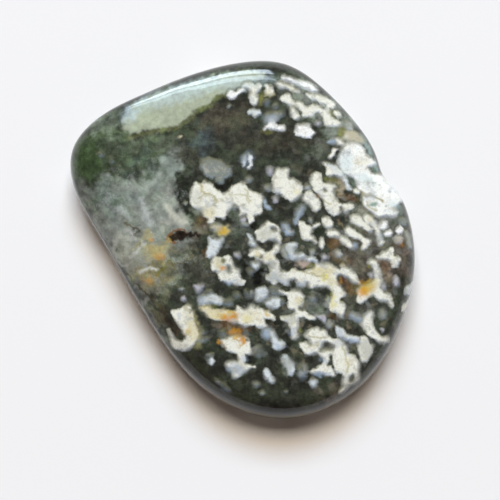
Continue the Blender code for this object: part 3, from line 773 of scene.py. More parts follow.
# Fine lines across the patches, in the same form as VEINS
CREASES = (
    ((150, 144, 96), 0.6, 2.0,
     ((118.5, 47), (121, 45), (126, 44.6), (131, 43.8), (135, 41.5), (139, 38.5))),
    ((142, 138, 92), 0.7, 2.0, ((119, 45), (118.6, 38), (120, 32.5), (123.5, 28.5), (128, 26), (132, 23))),
    ((196, 190, 160), 0.5, 1.6, ((124, 38), (125, 34), (128, 31), (133, 30.5))),
    ((176, 170, 120), 0.4, 1.2, ((-44, 57), (-41.5, 51), (-38, 46.5), (-41, 43), (-45, 41))),
    ((176, 170, 120), 0.4, 1.2, ((-38, 45), (-33, 45.5), (-28.5, 42), (-26, 38), (-30, 34.5))),
    ((196, 194, 160), 0.4, 1.2, ((-14, 46), (-8, 44), (-2, 45), (4, 43), (8, 39))),
    ((196, 194, 160), 0.4, 1.2, ((2, 52), (5, 48), (4, 42), (6, 36))),
    ((190, 186, 150), 0.4, 1.4, ((72, 47), (76, 43), (80, 40), (84, 37), (88, 36))),
    ((168, 160, 104), 0.4, 1.2, ((57, -31), (63, -33), (70, -34), (76, -37), (80, -36))),
    ((186, 182, 140), 0.4, 1.4, ((99, -105), (102, -112), (103, -120), (106, -126), (104, -133))),
    ((180, 176, 136), 0.4, 1.2, ((66, -96), (72, -97), (78, -99), (84, -98))),
    ((190, 160, 92), 0.4, 1.2, ((-8, -99), (-4, -102), (-1, -99), (2, -103), (0, -107))),
)

# How the drawing strays from its outlines: over what size and how far, in tenths of a millimetre, and a seed
STRAYS = {
    "clouds": ((24, 3.2, 1), (10, 2.0, 2), (4.5, 1.1, 3)),
    "zones": ((5, 0.7, 4),),
    "veins": ((6, 0.6, 5),),
    "body stains": ((8, 1.0, 6),),
    "creases": ((9, 0.5, 7),),
    "patch stains": ((7, 0.8, 8),),
}
CURVE_STEPS = 4  # straight steps between two points of an outline
WAVES = 14
WAVE_LENGTHS = (0.6, 1.7)  # the shortest and longest wave, as shares of the size

FAR = 8.0  # tenths of a millimetre from an outline beyond which it has no effect
LOOK_PULL = 1.6  # how strongly the patch that a point is deepest in sets its colour
LOOK_DEPTH = 2.0  # tenths of a millimetre inside a patch beyond which its pull grows no more
LOOK_FALLBACK = 1e-6  # the weight of plain cream, which shows only where no patch is near
ELLIPSE_EDGE = (0.35, 1.3)  # the shares of an ellipse's radii where its strength starts and ends falling
LEAN = (0.4, -1.4)  # the step that tells a patch's lower edge from its upper one, in tenths of a millimetre
LUMINANCE = (0.2126, 0.7152, 0.0722)
MOSS_BRIGHTNESS = (0.06, 0.4)  # how bright the body is where the moss is at its fullest and at its faintest
MOSS_LOSS = 0.8  # the share of the moss that is missing where it is at its faintest
FLECK_BRIGHTNESS = (0.012, 0.045)  # how bright it is where flecks start, and where none are missing

# Noises in space: size, detail, roughness and distortion
NOISES = {
    "tufts": (0.7 * MM, 5, 0.62, 0.3),
    "threads": (0.2 * MM, 3, 0.6, 0.0),
    "clumps": (1.7 * MM, 2, 0.5, 0.0),
    "wisps": (1.3 * MM, 5, 0.62, 0.7),
    "flecks": (0.9 * MM, 2, 0.5, 0.0),
    "fleck_hue": (1.3 * MM, 0, 0.5, 0.0),
    "drift": (1.6 * MM, 2, 0.5, 0.0),
    "free_patches": (2.6 * MM, 3, 0.55, 0.6),
    "ragged": (0.5 * MM, 4, 0.62, 0.0),
    "wavy": (1.1 * MM, 1, 0.5, 0.0),
    "cloudy": (0.8 * MM, 4, 0.62, 0.6),
    "veil": (1.5 * MM, 3, 0.6, 0.4),
    "grain": (0.16 * MM, 2, 0.5, 0.0),
    "folds": (1.3 * MM, 2, 0.5, 0.5),
    "smoke": (0.6 * MM, 3, 0.6, 0.0),
    "wear": (0.9 * MM, 4, 0.65, 0.0),
    "ripple": (1.4 * MM, 2, 0.4, 0.0),
}
NOISE_MIDDLE = 0.5
CRYSTAL_SIZE = 0.22 * MM
PIT_SIZE = 0.5 * MM

# How levels of noise, depths in millimetres and slants become amounts: two levels, and the amounts there
AMOUNTS = {
    "tufts": (0.3, 0.7, 0.6, 1.42),
    "faint_tufts": (0.3, 0.7, 0.93, 1.06),
    "threads": (0.25, 0.75, 0.85, 1.16),
    "faint_threads": (0.25, 0.75, 0.96, 1.04),
    "clumps": (0.32, 0.68, 0.66, 1.3),
    "green_clumps": (0.45, 0.6, 0.0, 1.0),
    "wisps": (0.5, 0.68, 0.0, 1.0),
    "wisp_shadows": (0.48, 0.32, 0.0, 0.5),
    "crystals": (0.6, 0.15, 0.15, 0.45),
    "flecks": (0.53, 0.7, 0.0, 0.6),
    "fleck_hue": (0.4, 0.6, 0.0, 1.0),
    "rim_depth": (-0.36, -0.12, 0.0, 1.0),
    "rim_slant": (0.9, -0.3, 0.1, 0.4),
    "haze_depth": (-0.5, 0.0, 0.0, 1.0),
    "haze": (0.46, 0.64, 0.0, 0.55),
    "softening": (0.4, 0.62, 0.8, 1.9),
    "grain": (0.25, 0.7, 0.92, 1.03),
    "cloudy": (0.52, 0.68, 0.0, 0.5),
    "veil": (0.54, 0.68, 0.0, 0.5),
    "folds": (0.0, 0.035, 0.2, 0.0),
    "smoke": (0.56, 0.7, 0.0, 0.42),
    "blue_depth": (0.28, 0.0, 0.0, 1.0),
    "blue_slant": (0.2, 0.9, 0.0, 0.42),
    "green_depth": (0.26, 0.0, 0.0, 1.0),
    "green_slant": (-0.1, -0.9, 0.0, 0.45),
    "wear": (0.3, 0.75, 0.05, 0.12),
    "pits": (0.03, 0.1, 0.0, 1.0),
}

# Patches that come from noise: its level at their edges, and how many millimetres deeper they get per level
FREE_LEVEL = 0.56
FREE_SLOPE = 5.0
RAGGED_REACH = 0.5  # how far the ragged and the wavy noise move an edge, in millimetres
WAVY_REACH = 0.22

# Tints that the noises bring in, as sRGB
TINTS = {
    "frost": (196, 203, 200),
    "frost_shadow": (86, 92, 82),
    "cool_fleck": (128, 134, 132),
    "warm_fleck": (132, 122, 102),
    "rim": (52, 58, 42),
    "haze": (128, 132, 128),
    "cloudy": (196, 192, 168),
    "veil": (176, 184, 192),
    "folds": (152, 150, 118),
    "smoke": (150, 154, 144),
    "blue_edge": (140, 164, 196),
    "green_edge": (160, 160, 112),
}
MOSS_GREEN = (0.86, 1.0, 0.78)  # what the mossy clumps leave of red, green and blue
MOSS_GREEN_SHARE = 0.6

# The polish
AGATE_IOR = 1.54
AGATE_SPECULAR = 0.36
PIT_DEPTH = 0.15
RELIEF = 0.008 * MM
RELIEF_STRENGTH = 0.6

# The floor
FLOOR_SIZE = 2.4
FLOOR_COLOUR = (0.9, 0.9, 0.9)
FLOOR_ROUGHNESS = 0.9
FLOOR_SPECULAR = 0.1

# The window's panes, as the polish shows them: lowest and highest elevation in degrees, and radiance
PANES = ((23, 41, 14.0), (48, 61, 7.0))
WINDOW_COLOUR = (0.82, 0.97, 1.12)
WINDOW_HEADING = math.radians(98)
WINDOW_SPREAD = math.radians(27)
WINDOW_DISTANCE = 1.6

# The light off the wall and the ceiling: each part's elevation in degrees and its colour, cooler low down
BOUNCES = ((53.5, (0.755, 0.963, 1.222)), (71, (1.108, 0.982, 0.825)))
BOUNCE_HEADING = math.radians(89)
BOUNCE_DISTANCE = 1.8
BOUNCE_SIZE = (1.05, 0.55)
BOUNCE_RADIANCE = 10.2

# The surround's colours, and where one turns into the next, as shares of the way across and of the way up
NEAR_HORIZON = (0.22, 0.155, 0.125)
FAR_HORIZON = (0.88, 0.86, 0.85)
OVERHEAD = (0.095, 0.068, 0.055)
NEAR_TO_FAR = (-0.6, 0.5)
LOW_TO_HIGH = (0.03, 0.33)


def linear(colour):
    """An sRGB colour of 0 to 255 as linear values of 0 to 1."""
    share = np.array(colour, float) / 255
    return np.where(share <= 0.04045, share / 12.92, ((share + 0.055) / 1.055) ** 2.4)


def smooth(value, low, high):
    """0 below low, 1 above high, and eased between them."""
    t = np.clip((value - low) / (high - low), 0.0, 1.0)
    return t * t * (3 - 2 * t)


# The shape, worked out as the CAD solid's was, on finer rings


def closed_spline(points):
    """A function that gives the places at shares of 0 to 1 of a smooth closed curve through the points."""
    knots = np.array(points, float)
    count = len(knots)
    steps = np.linalg.norm(np.roll(knots, -1, axis=0) - knots, axis=1)
    ties = np.zeros((count, count))
    rises = np.zeros((count, 2))
    for i in range(count):
        before, after = steps[i - 1], steps[i]
        ties[i, i - 1] = after
        ties[i, i] = 2 * (before + after)
        ties[i, (i + 1) % count] = before
        rise_before = (knots[i] - knots[i - 1]) / before
        rise_after = (knots[(i + 1) % count] - knots[i]) / after
        rises[i] = 3 * (after * rise_before + before * rise_after)
    slopes = np.linalg.solve(ties, rises)
    starts = np.concatenate([[0.0], np.cumsum(steps)])

    def at(shares):
        along = (shares % 1.0) * starts[-1]
        i = np.minimum(np.searchsorted(starts, along, side="right") - 1, count - 1)
        t = ((along - starts[i]) / steps[i])[:, None]
        here, there = knots[i], knots[(i + 1) % count]
        leave, arrive = slopes[i] * steps[i][:, None], slopes[(i + 1) % count] * steps[i][:, None]
        cubic = 2 * (here - there) + leave + arrive
        square = 3 * (there - here) - 2 * leave - arrive
        return here + t * (leave + t * (square + t * cubic))

    return at


def girth_curve():
    """The curve round the girth, centred on the origin and scaled to WIDTH and LENGTH."""
    curve = closed_spline(OUTLINE)
    points = curve(np.arange(OUTLINE_SAMPLES) / OUTLINE_SAMPLES)
    low, high = points.min(axis=0), points.max(axis=0)
    scale = np.array([WIDTH, LENGTH]) / (high - low)
    return lambda shares: (curve(shares) - (low + high) / 2) * scale


def shoulder_width(edge):
    """The shoulder's width at each point of the edge, eased from one stated heading to the next."""
    degrees = np.degrees(np.arctan2(edge[:, 1], edge[:, 0])) % 360
    headings, widths = np.array(SHOULDER_WIDTHS, float).T
    i = np.clip(np.searchsorted(headings, degrees, side="right") - 1, 0, len(headings) - 2)
    ease = (1 - np.cos(np.pi * (degrees - headings[i]) / (headings[i + 1] - headings[i]))) / 2
    return (widths[i] + (widths[i + 1] - widths[i]) * ease) * MM


def soft_min(a, b, softness):
    """The lower of two heights, rounded off where they cross."""
    gap = np.maximum(softness - np.abs(a - b), 0.0) / softness
    return np.minimum(a, b) - gap * gap * softness / 4


def swell(x, y):
    waves = [
        np.sin(2 * np.pi * (across * x / WIDTH + along * y / LENGTH) + phase)
        for across, along, phase in SWELLS
    ]
    return SWELL_HEIGHT * sum(waves) / len(SWELLS)


def top_points(edge, inward, rise):
    """Points inward of the edge, with their rise from 0 at the girth to 1 on the top face."""
    reach = 1 - inward / np.linalg.norm(edge, axis=1)
    x, y = (edge * reach[:, None]).T
    height = GIRTH_HEIGHT + (THICKNESS - CROWN - GIRTH_HEIGHT) * rise
    height = height + (CROWN * (1 - reach**2) + swell(x, y)) * rise
    along = x * math.cos(FACET_HEADING) + y * math.sin(FACET_HEADING)
    facet = FACET_CREASE_HEIGHT - (along - FACET_REACH) * math.tan(FACET_SLOPE)
    return np.stack([x, y, np.maximum(soft_min(height, facet, FACET_SOFTNESS), GIRTH_HEIGHT)], axis=1)


def under_reach(share):
    """The underside's reach as part of the outline's: FLAT_SPOT at a share of 0, and 1 at a share of 1."""
    return FLAT_SPOT + (1 - FLAT_SPOT) * math.sin(share * math.pi / 2)


def flat_ring(edge, share):
    return np.column_stack([edge * FLAT_SPOT * share, np.zeros(len(edge))])


def under_ring(edge, share):
    swing = math.sin(share * math.pi / 2)
    height = GIRTH_HEIGHT * (1 - math.sqrt(1 - swing**UNDER_FULLNESS))
    return np.column_stack([edge * under_reach(share), np.full(len(edge), height)])


def shoulder_ring(edge, share):
    swing = math.cos(share * math.pi / 2)
    rise = (1 - swing**SHOULDER_FULLNESS) ** (1 / SHOULDER_FULLNESS)
    return top_points(edge, shoulder_width(edge) * (1 - swing), rise)


def face_ring(edge, share):
    width = shoulder_width(edge)
    return top_points(edge, width + (np.linalg.norm(edge, axis=1) - width) * share, 1.0)


def stone_rings():
    """The rings from the flat spot up to the top face's middle, each with as many points as it needs."""
    curve = girth_curve()
    rough = curve(np.arange(LENGTH_SAMPLES) / LENGTH_SAMPLES)
    girth = np.linalg.norm(np.roll(rough, -1, axis=0) - rough, axis=1).sum()
    radius = (WIDTH + LENGTH) / 4
    face_rings = round(radius / TOP_SPACING)
    flat_rings = round(FLAT_SPOT * radius / FLAT_RING_SPACING)
    rings = []

    def add(make, share, reach, spacing):
        count = max(FEWEST_POINTS, round(girth * reach / spacing))
        turn = 0.5 * (len(rings) % 2)  # every second ring is half a step further round, for even triangles
        rings.append(make(curve((np.arange(count) + turn) / count), share))

    for i in range(1, flat_rings):
        add(flat_ring, i / flat_rings, FLAT_SPOT * i / flat_rings, UNDER_SPACING)
    for i in range(UNDER_RINGS):
        add(under_ring, i / UNDER_RINGS, under_reach(i / UNDER_RINGS), UNDER_SPACING)
    for i in range(SHOULDER_RINGS):
        add(shoulder_ring, i / SHOULDER_RINGS, 1 - (1 - RIM_REACH) * i / SHOULDER_RINGS, SHOULDER_SPACING)
    for i in range(face_rings):
        add(face_ring, i / face_rings, RIM_REACH * (1 - i / face_rings), TOP_SPACING)
    return rings


def stitches(low, low_count, high, high_count):
    """Triangles between two rings of unlike counts, given by their first points."""
    faces = []
    i = j = 0
    while i < low_count or j < high_count:
        if i < low_count and (i + 1) * high_count <= (j + 1) * low_count or j == high_count:
            faces.append((low + i, low + (i + 1) % low_count, high + j % high_count))
            i += 1
        else:
            faces.append((low + i % low_count, high + (j + 1) % high_count, high + j))
            j += 1
    return faces


def stone_mesh():
    rings = stone_rings()
    counts = [len(ring) for ring in rings]
    starts = [sum(counts[:k]) for k in range(len(rings) + 1)]
    foot, crown = starts[-1], starts[-1] + 1
    middle = top_points(np.array([[WIDTH / 2, 0.0]]), np.array([WIDTH / 2]), 1.0)
    points = np.concatenate([*rings, [[0.0, 0.0, 0.0]], middle])
    faces = []
    for k in range(len(rings) - 1):
        faces += stitches(starts[k], counts[k], starts[k + 1], counts[k + 1])
    faces += [(foot, (k + 1) % counts[0], k) for k in range(counts[0])]
    faces += [(starts[-2] + k, starts[-2] + (k + 1) % counts[-1], crown) for k in range(counts[-1])]
    mesh = bpy.data.meshes.new("moss_agate_stone")
    mesh.from_pydata(points.tolist(), [], faces)
    mesh.shade_smooth()
    return mesh


# The markings


def camera_axes():
    """The camera's right, up and back."""
    back = np.array([0.0, -math.cos(ELEVATION), math.sin(ELEVATION)])
    right = np.array([1.0, 0.0, 0.0])
    return right, np.cross(back, right), back


def marks_place(points, facing):
    """Each point's place on the plane of the markings, which is where the camera sees it.

    The camera sees the steep sides edge on, so there a point is moved out by how far down it is.
    """
    right, up, back = camera_axes()
    offset = points - np.array(PIVOT)
    depth = DISTANCE - offset @ back
    u = PIVOT_PIXEL[0] - MARKS_PIXEL[0] + FOCAL_PIXELS * (offset @ right) / depth
    v = MARKS_PIXEL[1] - PIVOT_PIXEL[1] + FOCAL_PIXELS * (offset @ up) / depth
    drop = np.maximum(SIDE_TOP - points[:, 2], 0) * (1 - smooth(facing, *STEEP))
    outward = points[:, :2] / np.maximum(np.linalg.norm(points[:, :2], axis=1), SIDE_REACH)[:, None]
    return np.stack([u, v], axis=1) + outward * drop[:, None] * MARKS_PER_MM / MM


def rounded(points, closed=True):
    """A smooth curve through the points, as short straight steps."""
    knots = np.array(points, float)
    if closed:
        before, here, after, beyond = (np.roll(knots, -k, axis=0) for k in (-1, 0, 1, 2))
    else:
        padded = np.concatenate([knots[:1], knots, knots[-1:]])
        before, here, after, beyond = padded[:-3], padded[1:-2], padded[2:-1], padded[3:]
    line = after - before
    square = 2 * before - 5 * here + 4 * after - beyond
    cubic = 3 * here - before - 3 * after + beyond
    shares = [k / CURVE_STEPS for k in range(CURVE_STEPS)]
    steps = [0.5 * (2 * here + line * t + square * t**2 + cubic * t**3) for t in shares]
    curve = np.stack(steps, axis=1).reshape(-1, 2)
    return curve if closed else np.concatenate([curve, knots[-1:]])


def distance_to(places, line, closed=True):
    """Each place's distance to a line of straight steps."""
    starts = line if closed else line[:-1]
    steps = (np.roll(line, -1, axis=0) if closed else line[1:]) - starts
    nearest = np.full(len(places), np.inf)
    for start, step in zip(starts, steps):
        offset = places - start
        t = np.clip(offset @ step / max(step @ step, 1e-12), 0.0, 1.0)
        gap = offset - t[:, None] * step
        nearest = np.minimum(nearest, (gap * gap).sum(axis=1))
    return np.sqrt(nearest)


def inside(places, loop):
    x, y = places.T
    odd = np.zeros(len(places), bool)
    for (x0, y0), (x1, y1) in zip(loop, np.roll(loop, -1, axis=0)):
        if y0 != y1:
            odd ^= ((y0 > y) != (y1 > y)) & (x < (x1 - x0) * (y - y0) / (y1 - y0) + x0)
    return odd


def near(places, line):
    """The numbers of the places that a line can have an effect on."""
    low, high = line.min(axis=0) - FAR, line.max(axis=0) + FAR
    return np.flatnonzero(((places > low) & (places < high)).all(axis=1))


def near_and_depth(places, points):
    """The places near a closed outline, by number, and their distance to it, positive inside it."""
    loop = rounded(points)
    chosen = near(places, loop)
    side = np.where(inside(places[chosen], loop), 1.0, -1.0)
    return chosen, distance_to(places[chosen], loop) * side


def patch_field(places):
    """Each place's depth inside the patches, with the gaps taken out, in tenths of a millimetre."""
    field = np.full(len(places), -FAR)
    for outlines in PATCHES.values():
        for points in outlines:
            chosen, depth = near_and_depth(places, points)
            field[chosen] = np.maximum(field[chosen], depth)
    for points in GAPS:
        chosen, depth = near_and_depth(places, points)
        field[chosen] = np.minimum(field[chosen], -depth)
    return field


def patch_looks(places):
    """The colour and edge softness, at each place, of the patch that it is deepest in or nearest to."""
    total = np.full(len(places), LOOK_FALLBACK)
    colour = linear(KINDS["cream"][0]) * total[:, None]
    softness = KINDS["cream"][1] * total
    for kind, outlines in PATCHES.items():
        tone, soft = KINDS[kind]
        for points in outlines:
            chosen, depth = near_and_depth(places, points)
            weight = np.exp(LOOK_PULL * np.minimum(depth, LOOK_DEPTH))
            total[chosen] += weight
            colour[chosen] += weight[:, None] * linear(tone)
            softness[chosen] += weight * soft
    return colour / total[:, None], softness / total


def ellipse_strength(places, u, v, across, along, turn):
    """1 in the middle of an ellipse, easing to 0 a little past its radii."""
    angle = math.radians(turn)
    offset = places - (u, v)
    x = offset[:, 0] * math.cos(angle) + offset[:, 1] * math.sin(angle)
    y = offset[:, 1] * math.cos(angle) - offset[:, 0] * math.sin(angle)
    return 1 - smooth(np.hypot(x / across, y / along), *ELLIPSE_EDGE)


def blend_in(colours, tone, amount, chosen=slice(None)):
    """Brings a tone into the chosen colours by an amount of 0 to 1 for each."""
    colours[chosen] += (linear(tone) - colours[chosen]) * amount[:, None]


def wander(places, size, reach, seed):
    """Sideways steps that vary smoothly from place to place over about the given size."""
    rng = np.random.default_rng(seed)
    angles = rng.uniform(0, 2 * math.pi, WAVES)
    lengths = size * rng.uniform(*WAVE_LENGTHS, WAVES)
    phases = rng.uniform(0, 2 * math.pi, (2, WAVES))
    along = places @ (2 * math.pi / lengths * np.stack([np.cos(angles), np.sin(angles)]))
    steps = np.stack([np.sin(along + phase).sum(axis=1) for phase in phases], axis=1)
    return reach / math.sqrt(WAVES / 2) * steps


def strayed(places, name):
    """The places with the sideways steps that STRAYS gives for one part of the drawing."""
    return sum((wander(places, *steps) for steps in STRAYS[name]), start=places)


def paint_stains(colours, places):
    for name, *ellipse, strength in STAINS:
        blend_in(colours, STAIN_COLOURS[name], strength * ellipse_strength(places, *ellipse))


def paint_zones(colours, places, zones):
    for tone, softness, points in zones:
        chosen, depth = near_and_depth(places, points)
        blend_in(colours, tone, smooth(depth, -softness, softness), chosen)


def paint_lines(colours, places, lines):
    for tone, half_width, softness, points in lines:
        line = rounded(points, closed=False)
        chosen = near(places, line)
        gap = distance_to(places[chosen], line, closed=False)
        amount = 1 - smooth(gap, half_width - softness / 2, half_width + softness)
        blend_in(colours, tone, amount, chosen)


def body_colours(places):
    colours = np.tile(linear(BODY), (len(places), 1))
    loose = strayed(places, "clouds")
    paint_zones(colours, loose, BASES)
    for tone, *ellipse, strength in CLOUDS:
        blend_in(colours, tone, strength * ellipse_strength(loose, *ellipse))
    paint_zones(colours, strayed(places, "zones"), ZONES)
    paint_lines(colours, strayed(places, "veins"), VEINS)
    paint_stains(colours, strayed(places, "body stains"))
    return colours


def patch_colours(places):
    """The patches' colour and edge softness at each place, with their creases and stains."""
    colours, softness = patch_looks(places)
    paint_lines(colours, strayed(places, "creases"), CREASES)
    paint_stains(colours, strayed(places, "patch stains"))
    return colours, softness


def strengths(places, ellipses):
    """The strongest of some ellipses at each place."""
    strongest = np.zeros(len(places))
    for *ellipse, strength in ellipses:
        strongest = np.maximum(strongest, strength * ellipse_strength(places, *ellipse))
    return strongest


def add_numbers(mesh, name, values):
    mesh.attributes.new(name, "FLOAT", "POINT").data.foreach_set("value", values.astype(np.float32))


def add_colours(mesh, name, colours):
    rgba = np.column_stack([colours, np.ones(len(colours))]).astype(np.float32)
    mesh.attributes.new(name, "FLOAT_COLOR", "POINT").data.foreach_set("color", rgba.ravel())


def read_vectors(data, name):
    values = np.empty(len(data) * 3, np.float32)
    data.foreach_get(name, values)
    return values.reshape(-1, 3)


def add_markings(mesh):
    """Gives the mesh the markings as numbers and colours at its points."""
    facing = read_vectors(mesh.vertex_normals, "vector") @ camera_axes()[2]
    places = marks_place(read_vectors(mesh.vertices, "co").astype(float), facing)
    lean = np.array(LEAN)
    slant = (patch_field(places - lean) - patch_field(places + lean)) / (2 * np.linalg.norm(lean))
    patch_colour, softness = patch_colours(places)
    body_colour = body_colours(places)
    brightness = body_colour @ LUMINANCE
    add_numbers(mesh, "patch_depth", patch_field(places) / MARKS_PER_MM)
    add_numbers(mesh, "patch_softness", softness / MARKS_PER_MM)
    add_numbers(mesh, "patch_slant", slant)
    add_numbers(mesh, "drawn", smooth(facing, *DRAWN))
    add_numbers(mesh, "mossy", 1 - MOSS_LOSS * smooth(brightness, *MOSS_BRIGHTNESS))
    add_numbers(mesh, "flecks", strengths(places, FLECKS) * smooth(brightness, *FLECK_BRIGHTNESS))
    add_numbers(mesh, "frost", strengths(places, FROST))
    add_colours(mesh, "patch_colour", patch_colour)
    add_colours(mesh, "body_colour", body_colour)


# Materials


class Nodes:
    """The nodes of a material or of the surround, made by short calls that return output sockets."""

    def __init__(self, tree):
        self.tree = tree

    def put(self, socket, value):
        if isinstance(value, bpy.types.NodeSocket):
            self.tree.links.new(value, socket)
        elif socket.type == "RGBA":
            socket.default_value = (*value, 1)
        else:
            socket.default_value = value

    def add(self, kind, inputs, **settings):
        """A new node with its settings, and with the inputs given by name or number set or linked."""
        node = self.tree.nodes.new(kind)
        for name, value in settings.items():
            setattr(node, name, value)
        for name, value in inputs.items():
            self.put(node.inputs[name], value)
        return node

    def math(self, operation, a, b=0.0):
        return self.add("ShaderNodeMath", {0: a, 1: b}, operation=operation).outputs[0]

    def times(self, a, b):
        return self.math("MULTIPLY", a, b)

    def centred(self, value, middle, scale):
        """How far a value is above its middle, scaled."""
        return self.times(self.math("SUBTRACT", value, middle), scale)

    def ease(self, value, low, high, start=0.0, end=1.0):
        inputs = {0: value, 1: low, 2: high, 3: start, 4: end}
        return self.add("ShaderNodeMapRange", inputs, interpolation_type="SMOOTHSTEP").outputs[0]

    def amount(self, value, name):
        return self.ease(value, *AMOUNTS[name])

    def mix(self, factor, a, b, blend="MIX"):
        """A blend of two colours, whose sockets on the node are the seventh and the eighth."""
        node = self.add("ShaderNodeMix", {0: factor, 6: a, 7: b}, data_type="RGBA", blend_type=blend)
        return node.outputs[2]

    def mix_numbers(self, factor, a, b):
        return self.add("ShaderNodeMix", {0: factor, 2: a, 3: b}).outputs[0]

    def tinted(self, factor, colour, tint):
        return self.mix(factor, colour, tuple(linear(TINTS[tint])))

    def scaled(self, colour, factor):
        return self.add("ShaderNodeVectorMath", {0: colour, "Scale": factor}, operation="SCALE").outputs[0]

    def attribute(self, name, output="Fac"):
        return self.add("ShaderNodeAttribute", {}, attribute_name=name).outputs[output]

    def noise(self, place, name):
        size, detail, roughness, distortion = NOISES[name]
        inputs = {"Vector": place, "Scale": 1 / size, "Detail": detail, "Roughness": roughness}
        inputs["Distortion"] = distortion
        return self.add("ShaderNodeTexNoise", inputs).outputs["Fac"]

    def cells(self, place, size):
        return self.add("ShaderNodeTexVoronoi", {"Vector": place, "Scale": 1 / size}).outputs["Distance"]

    def bump(self, height, distance, strength):
        inputs = {"Height": height, "Distance": distance, "Strength": strength}
        return self.add("ShaderNodeBump", inputs).outputs["Normal"]


def new_material(name):
    """A material, the maker of its nodes and its shader's input sockets."""
    material = bpy.data.materials.new(name)
    material.use_nodes = True
    return material, Nodes(material.node_tree), material.node_tree.nodes["Principled BSDF"].inputs


def patch_depth(n, place):
    """How deep a point is inside a patch, in millimetres: as drawn or, out of view, by noise."""
    free = n.centred(n.noise(place, "free_patches"), FREE_LEVEL, FREE_SLOPE)
    depth = n.mix_numbers(n.attribute("drawn"), free, n.attribute("patch_depth"))
    depth = n.math("ADD", depth, n.centred(n.noise(place, "ragged"), NOISE_MIDDLE, RAGGED_REACH))
    return n.math("ADD", depth, n.centred(n.noise(place, "wavy"), NOISE_MIDDLE, WAVY_REACH))


def mossed(n, place, body):
    """The body broken up by moss at several sizes, less so where it is pale."""
    mossy = n.attribute("mossy")
    for name in ("tufts", "threads"):
        level = n.noise(place, name)
        light = n.mix_numbers(mossy, n.amount(level, f"faint_{name}"), n.amount(level, name))
        body = n.scaled(body, light)
    clumps = n.noise(place, "clumps")
    body = n.scaled(body, n.mix_numbers(mossy, 1.0, n.amount(clumps, "clumps")))
    green = n.mix(MOSS_GREEN_SHARE, body, MOSS_GREEN, "MULTIPLY")
    return n.mix(n.times(n.amount(clumps, "green_clumps"), mossy), body, green)


def frosted(n, place, body):
    """The body with the chalcedony's pale wisps of small crystals, and dark parts between them."""
    frost = n.attribute("frost")
    wisps = n.noise(place, "wisps")
    crystals = n.amount(n.cells(place, CRYSTAL_SIZE), "crystals")
    pale = n.times(n.times(frost, n.amount(wisps, "wisps")), crystals)
    body = n.tinted(pale, body, "frost")
    return n.tinted(n.times(frost, n.amount(wisps, "wisp_shadows")), body, "frost_shadow")


def flecked(n, place, body):
    hue = n.amount(n.noise(place, "fleck_hue"), "fleck_hue")
    tone = n.tinted(hue, tuple(linear(TINTS["cool_fleck"])), "warm_fleck")
    flecks = n.amount(n.noise(place, "flecks"), "flecks")
    return n.mix(n.times(n.attribute("flecks"), flecks), body, tone)


def edged(n, depth, slant, drift, body):
    """The body with a dark rim round the patches, and a pale haze here and there."""
    rim = n.times(n.amount(depth, "rim_depth"), n.amount(slant, "rim_slant"))
    haze = n.times(n.amount(depth, "haze_depth"), n.amount(drift, "haze"))
    return n.tinted(n.times(haze, n.attribute("flecks")), n.tinted(rim, body, "rim"), "haze")


def patches(n, place, depth, slant):
    """The patches' own colour: cloudy, with faint grey and warm veils, and tinted along the edges."""
    grain = n.amount(n.noise(place, "grain"), "grain")
    colour = n.scaled(n.attribute("patch_colour", "Color"), grain)
    for name in ("cloudy", "veil", "folds", "smoke"):
        level = n.noise(place, name)
        if name == "folds":
            level = n.math("ABSOLUTE", n.math("SUBTRACT", level, NOISE_MIDDLE))
        colour = n.tinted(n.amount(level, name), colour, name)
    for name in ("blue", "green"):
        edge = n.times(n.amount(depth, f"{name}_depth"), n.amount(slant, f"{name}_slant"))
        colour = n.tinted(edge, colour, f"{name}_edge")
    return colour


def polished_agate():
    material, n, surface = new_material("moss_agate_polished")
    place = n.add("ShaderNodeTexCoord", {}).outputs["Object"]
    depth = patch_depth(n, place)
    slant = n.times(n.attribute("patch_slant"), n.attribute("drawn"))
    drift = n.noise(place, "drift")
    body = mossed(n, place, n.attribute("body_colour", "Color"))
    body = flecked(n, place, frosted(n, place, body))
    body = edged(n, depth, slant, drift, body)
    softness = n.times(n.attribute("patch_softness"), n.amount(drift, "softening"))
    cover = n.ease(depth, n.times(softness, -1.0), softness)
    n.put(surface["Base Color"], n.mix(cover, body, patches(n, place, depth, slant)))
    n.put(surface["Roughness"], n.amount(n.noise(place, "wear"), "wear"))
    surface["IOR"].default_value = AGATE_IOR
    surface["Specular IOR Level"].default_value = AGATE_SPECULAR
    pits = n.times(n.amount(n.cells(place, PIT_SIZE), "pits"), PIT_DEPTH)
    height = n.math("ADD", pits, n.noise(place, "ripple"))
    n.put(surface["Normal"], n.bump(height, RELIEF, RELIEF_STRENGTH))
    return material


def floor_material():
    material, n, surface = new_material("white_floor")
    n.put(surface["Base Color"], FLOOR_COLOUR)
    surface["Roughness"].default_value = FLOOR_ROUGHNESS
    surface["Specular IOR Level"].default_value = FLOOR_SPECULAR
    return material


# The scene


def make_stone():
    mesh = stone_mesh()
    add_markings(mesh)
    mesh.materials.append(polished_agate())
    stone = bpy.data.objects.new("moss_agate_stone", mesh)
    bpy.context.scene.collection.objects.link(stone)
    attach(stone, "root")
    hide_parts("moss_agate")


def make_floor():
    half = FLOOR_SIZE / 2
    corners = [(-half, -half, 0), (half, -half, 0), (half, half, 0), (-half, half, 0)]
    mesh = bpy.data.meshes.new("floor")
    mesh.from_pydata(corners, [], [(0, 1, 2, 3)])
    mesh.materials.append(floor_material())
    floor = bpy.data.objects.new("floor", mesh)
    bpy.context.scene.collection.objects.link(floor)


def direction(heading, elevation):
    flat = math.cos(elevation)
    return Vector((math.cos(heading) * flat, math.sin(heading) * flat, math.sin(elevation)))


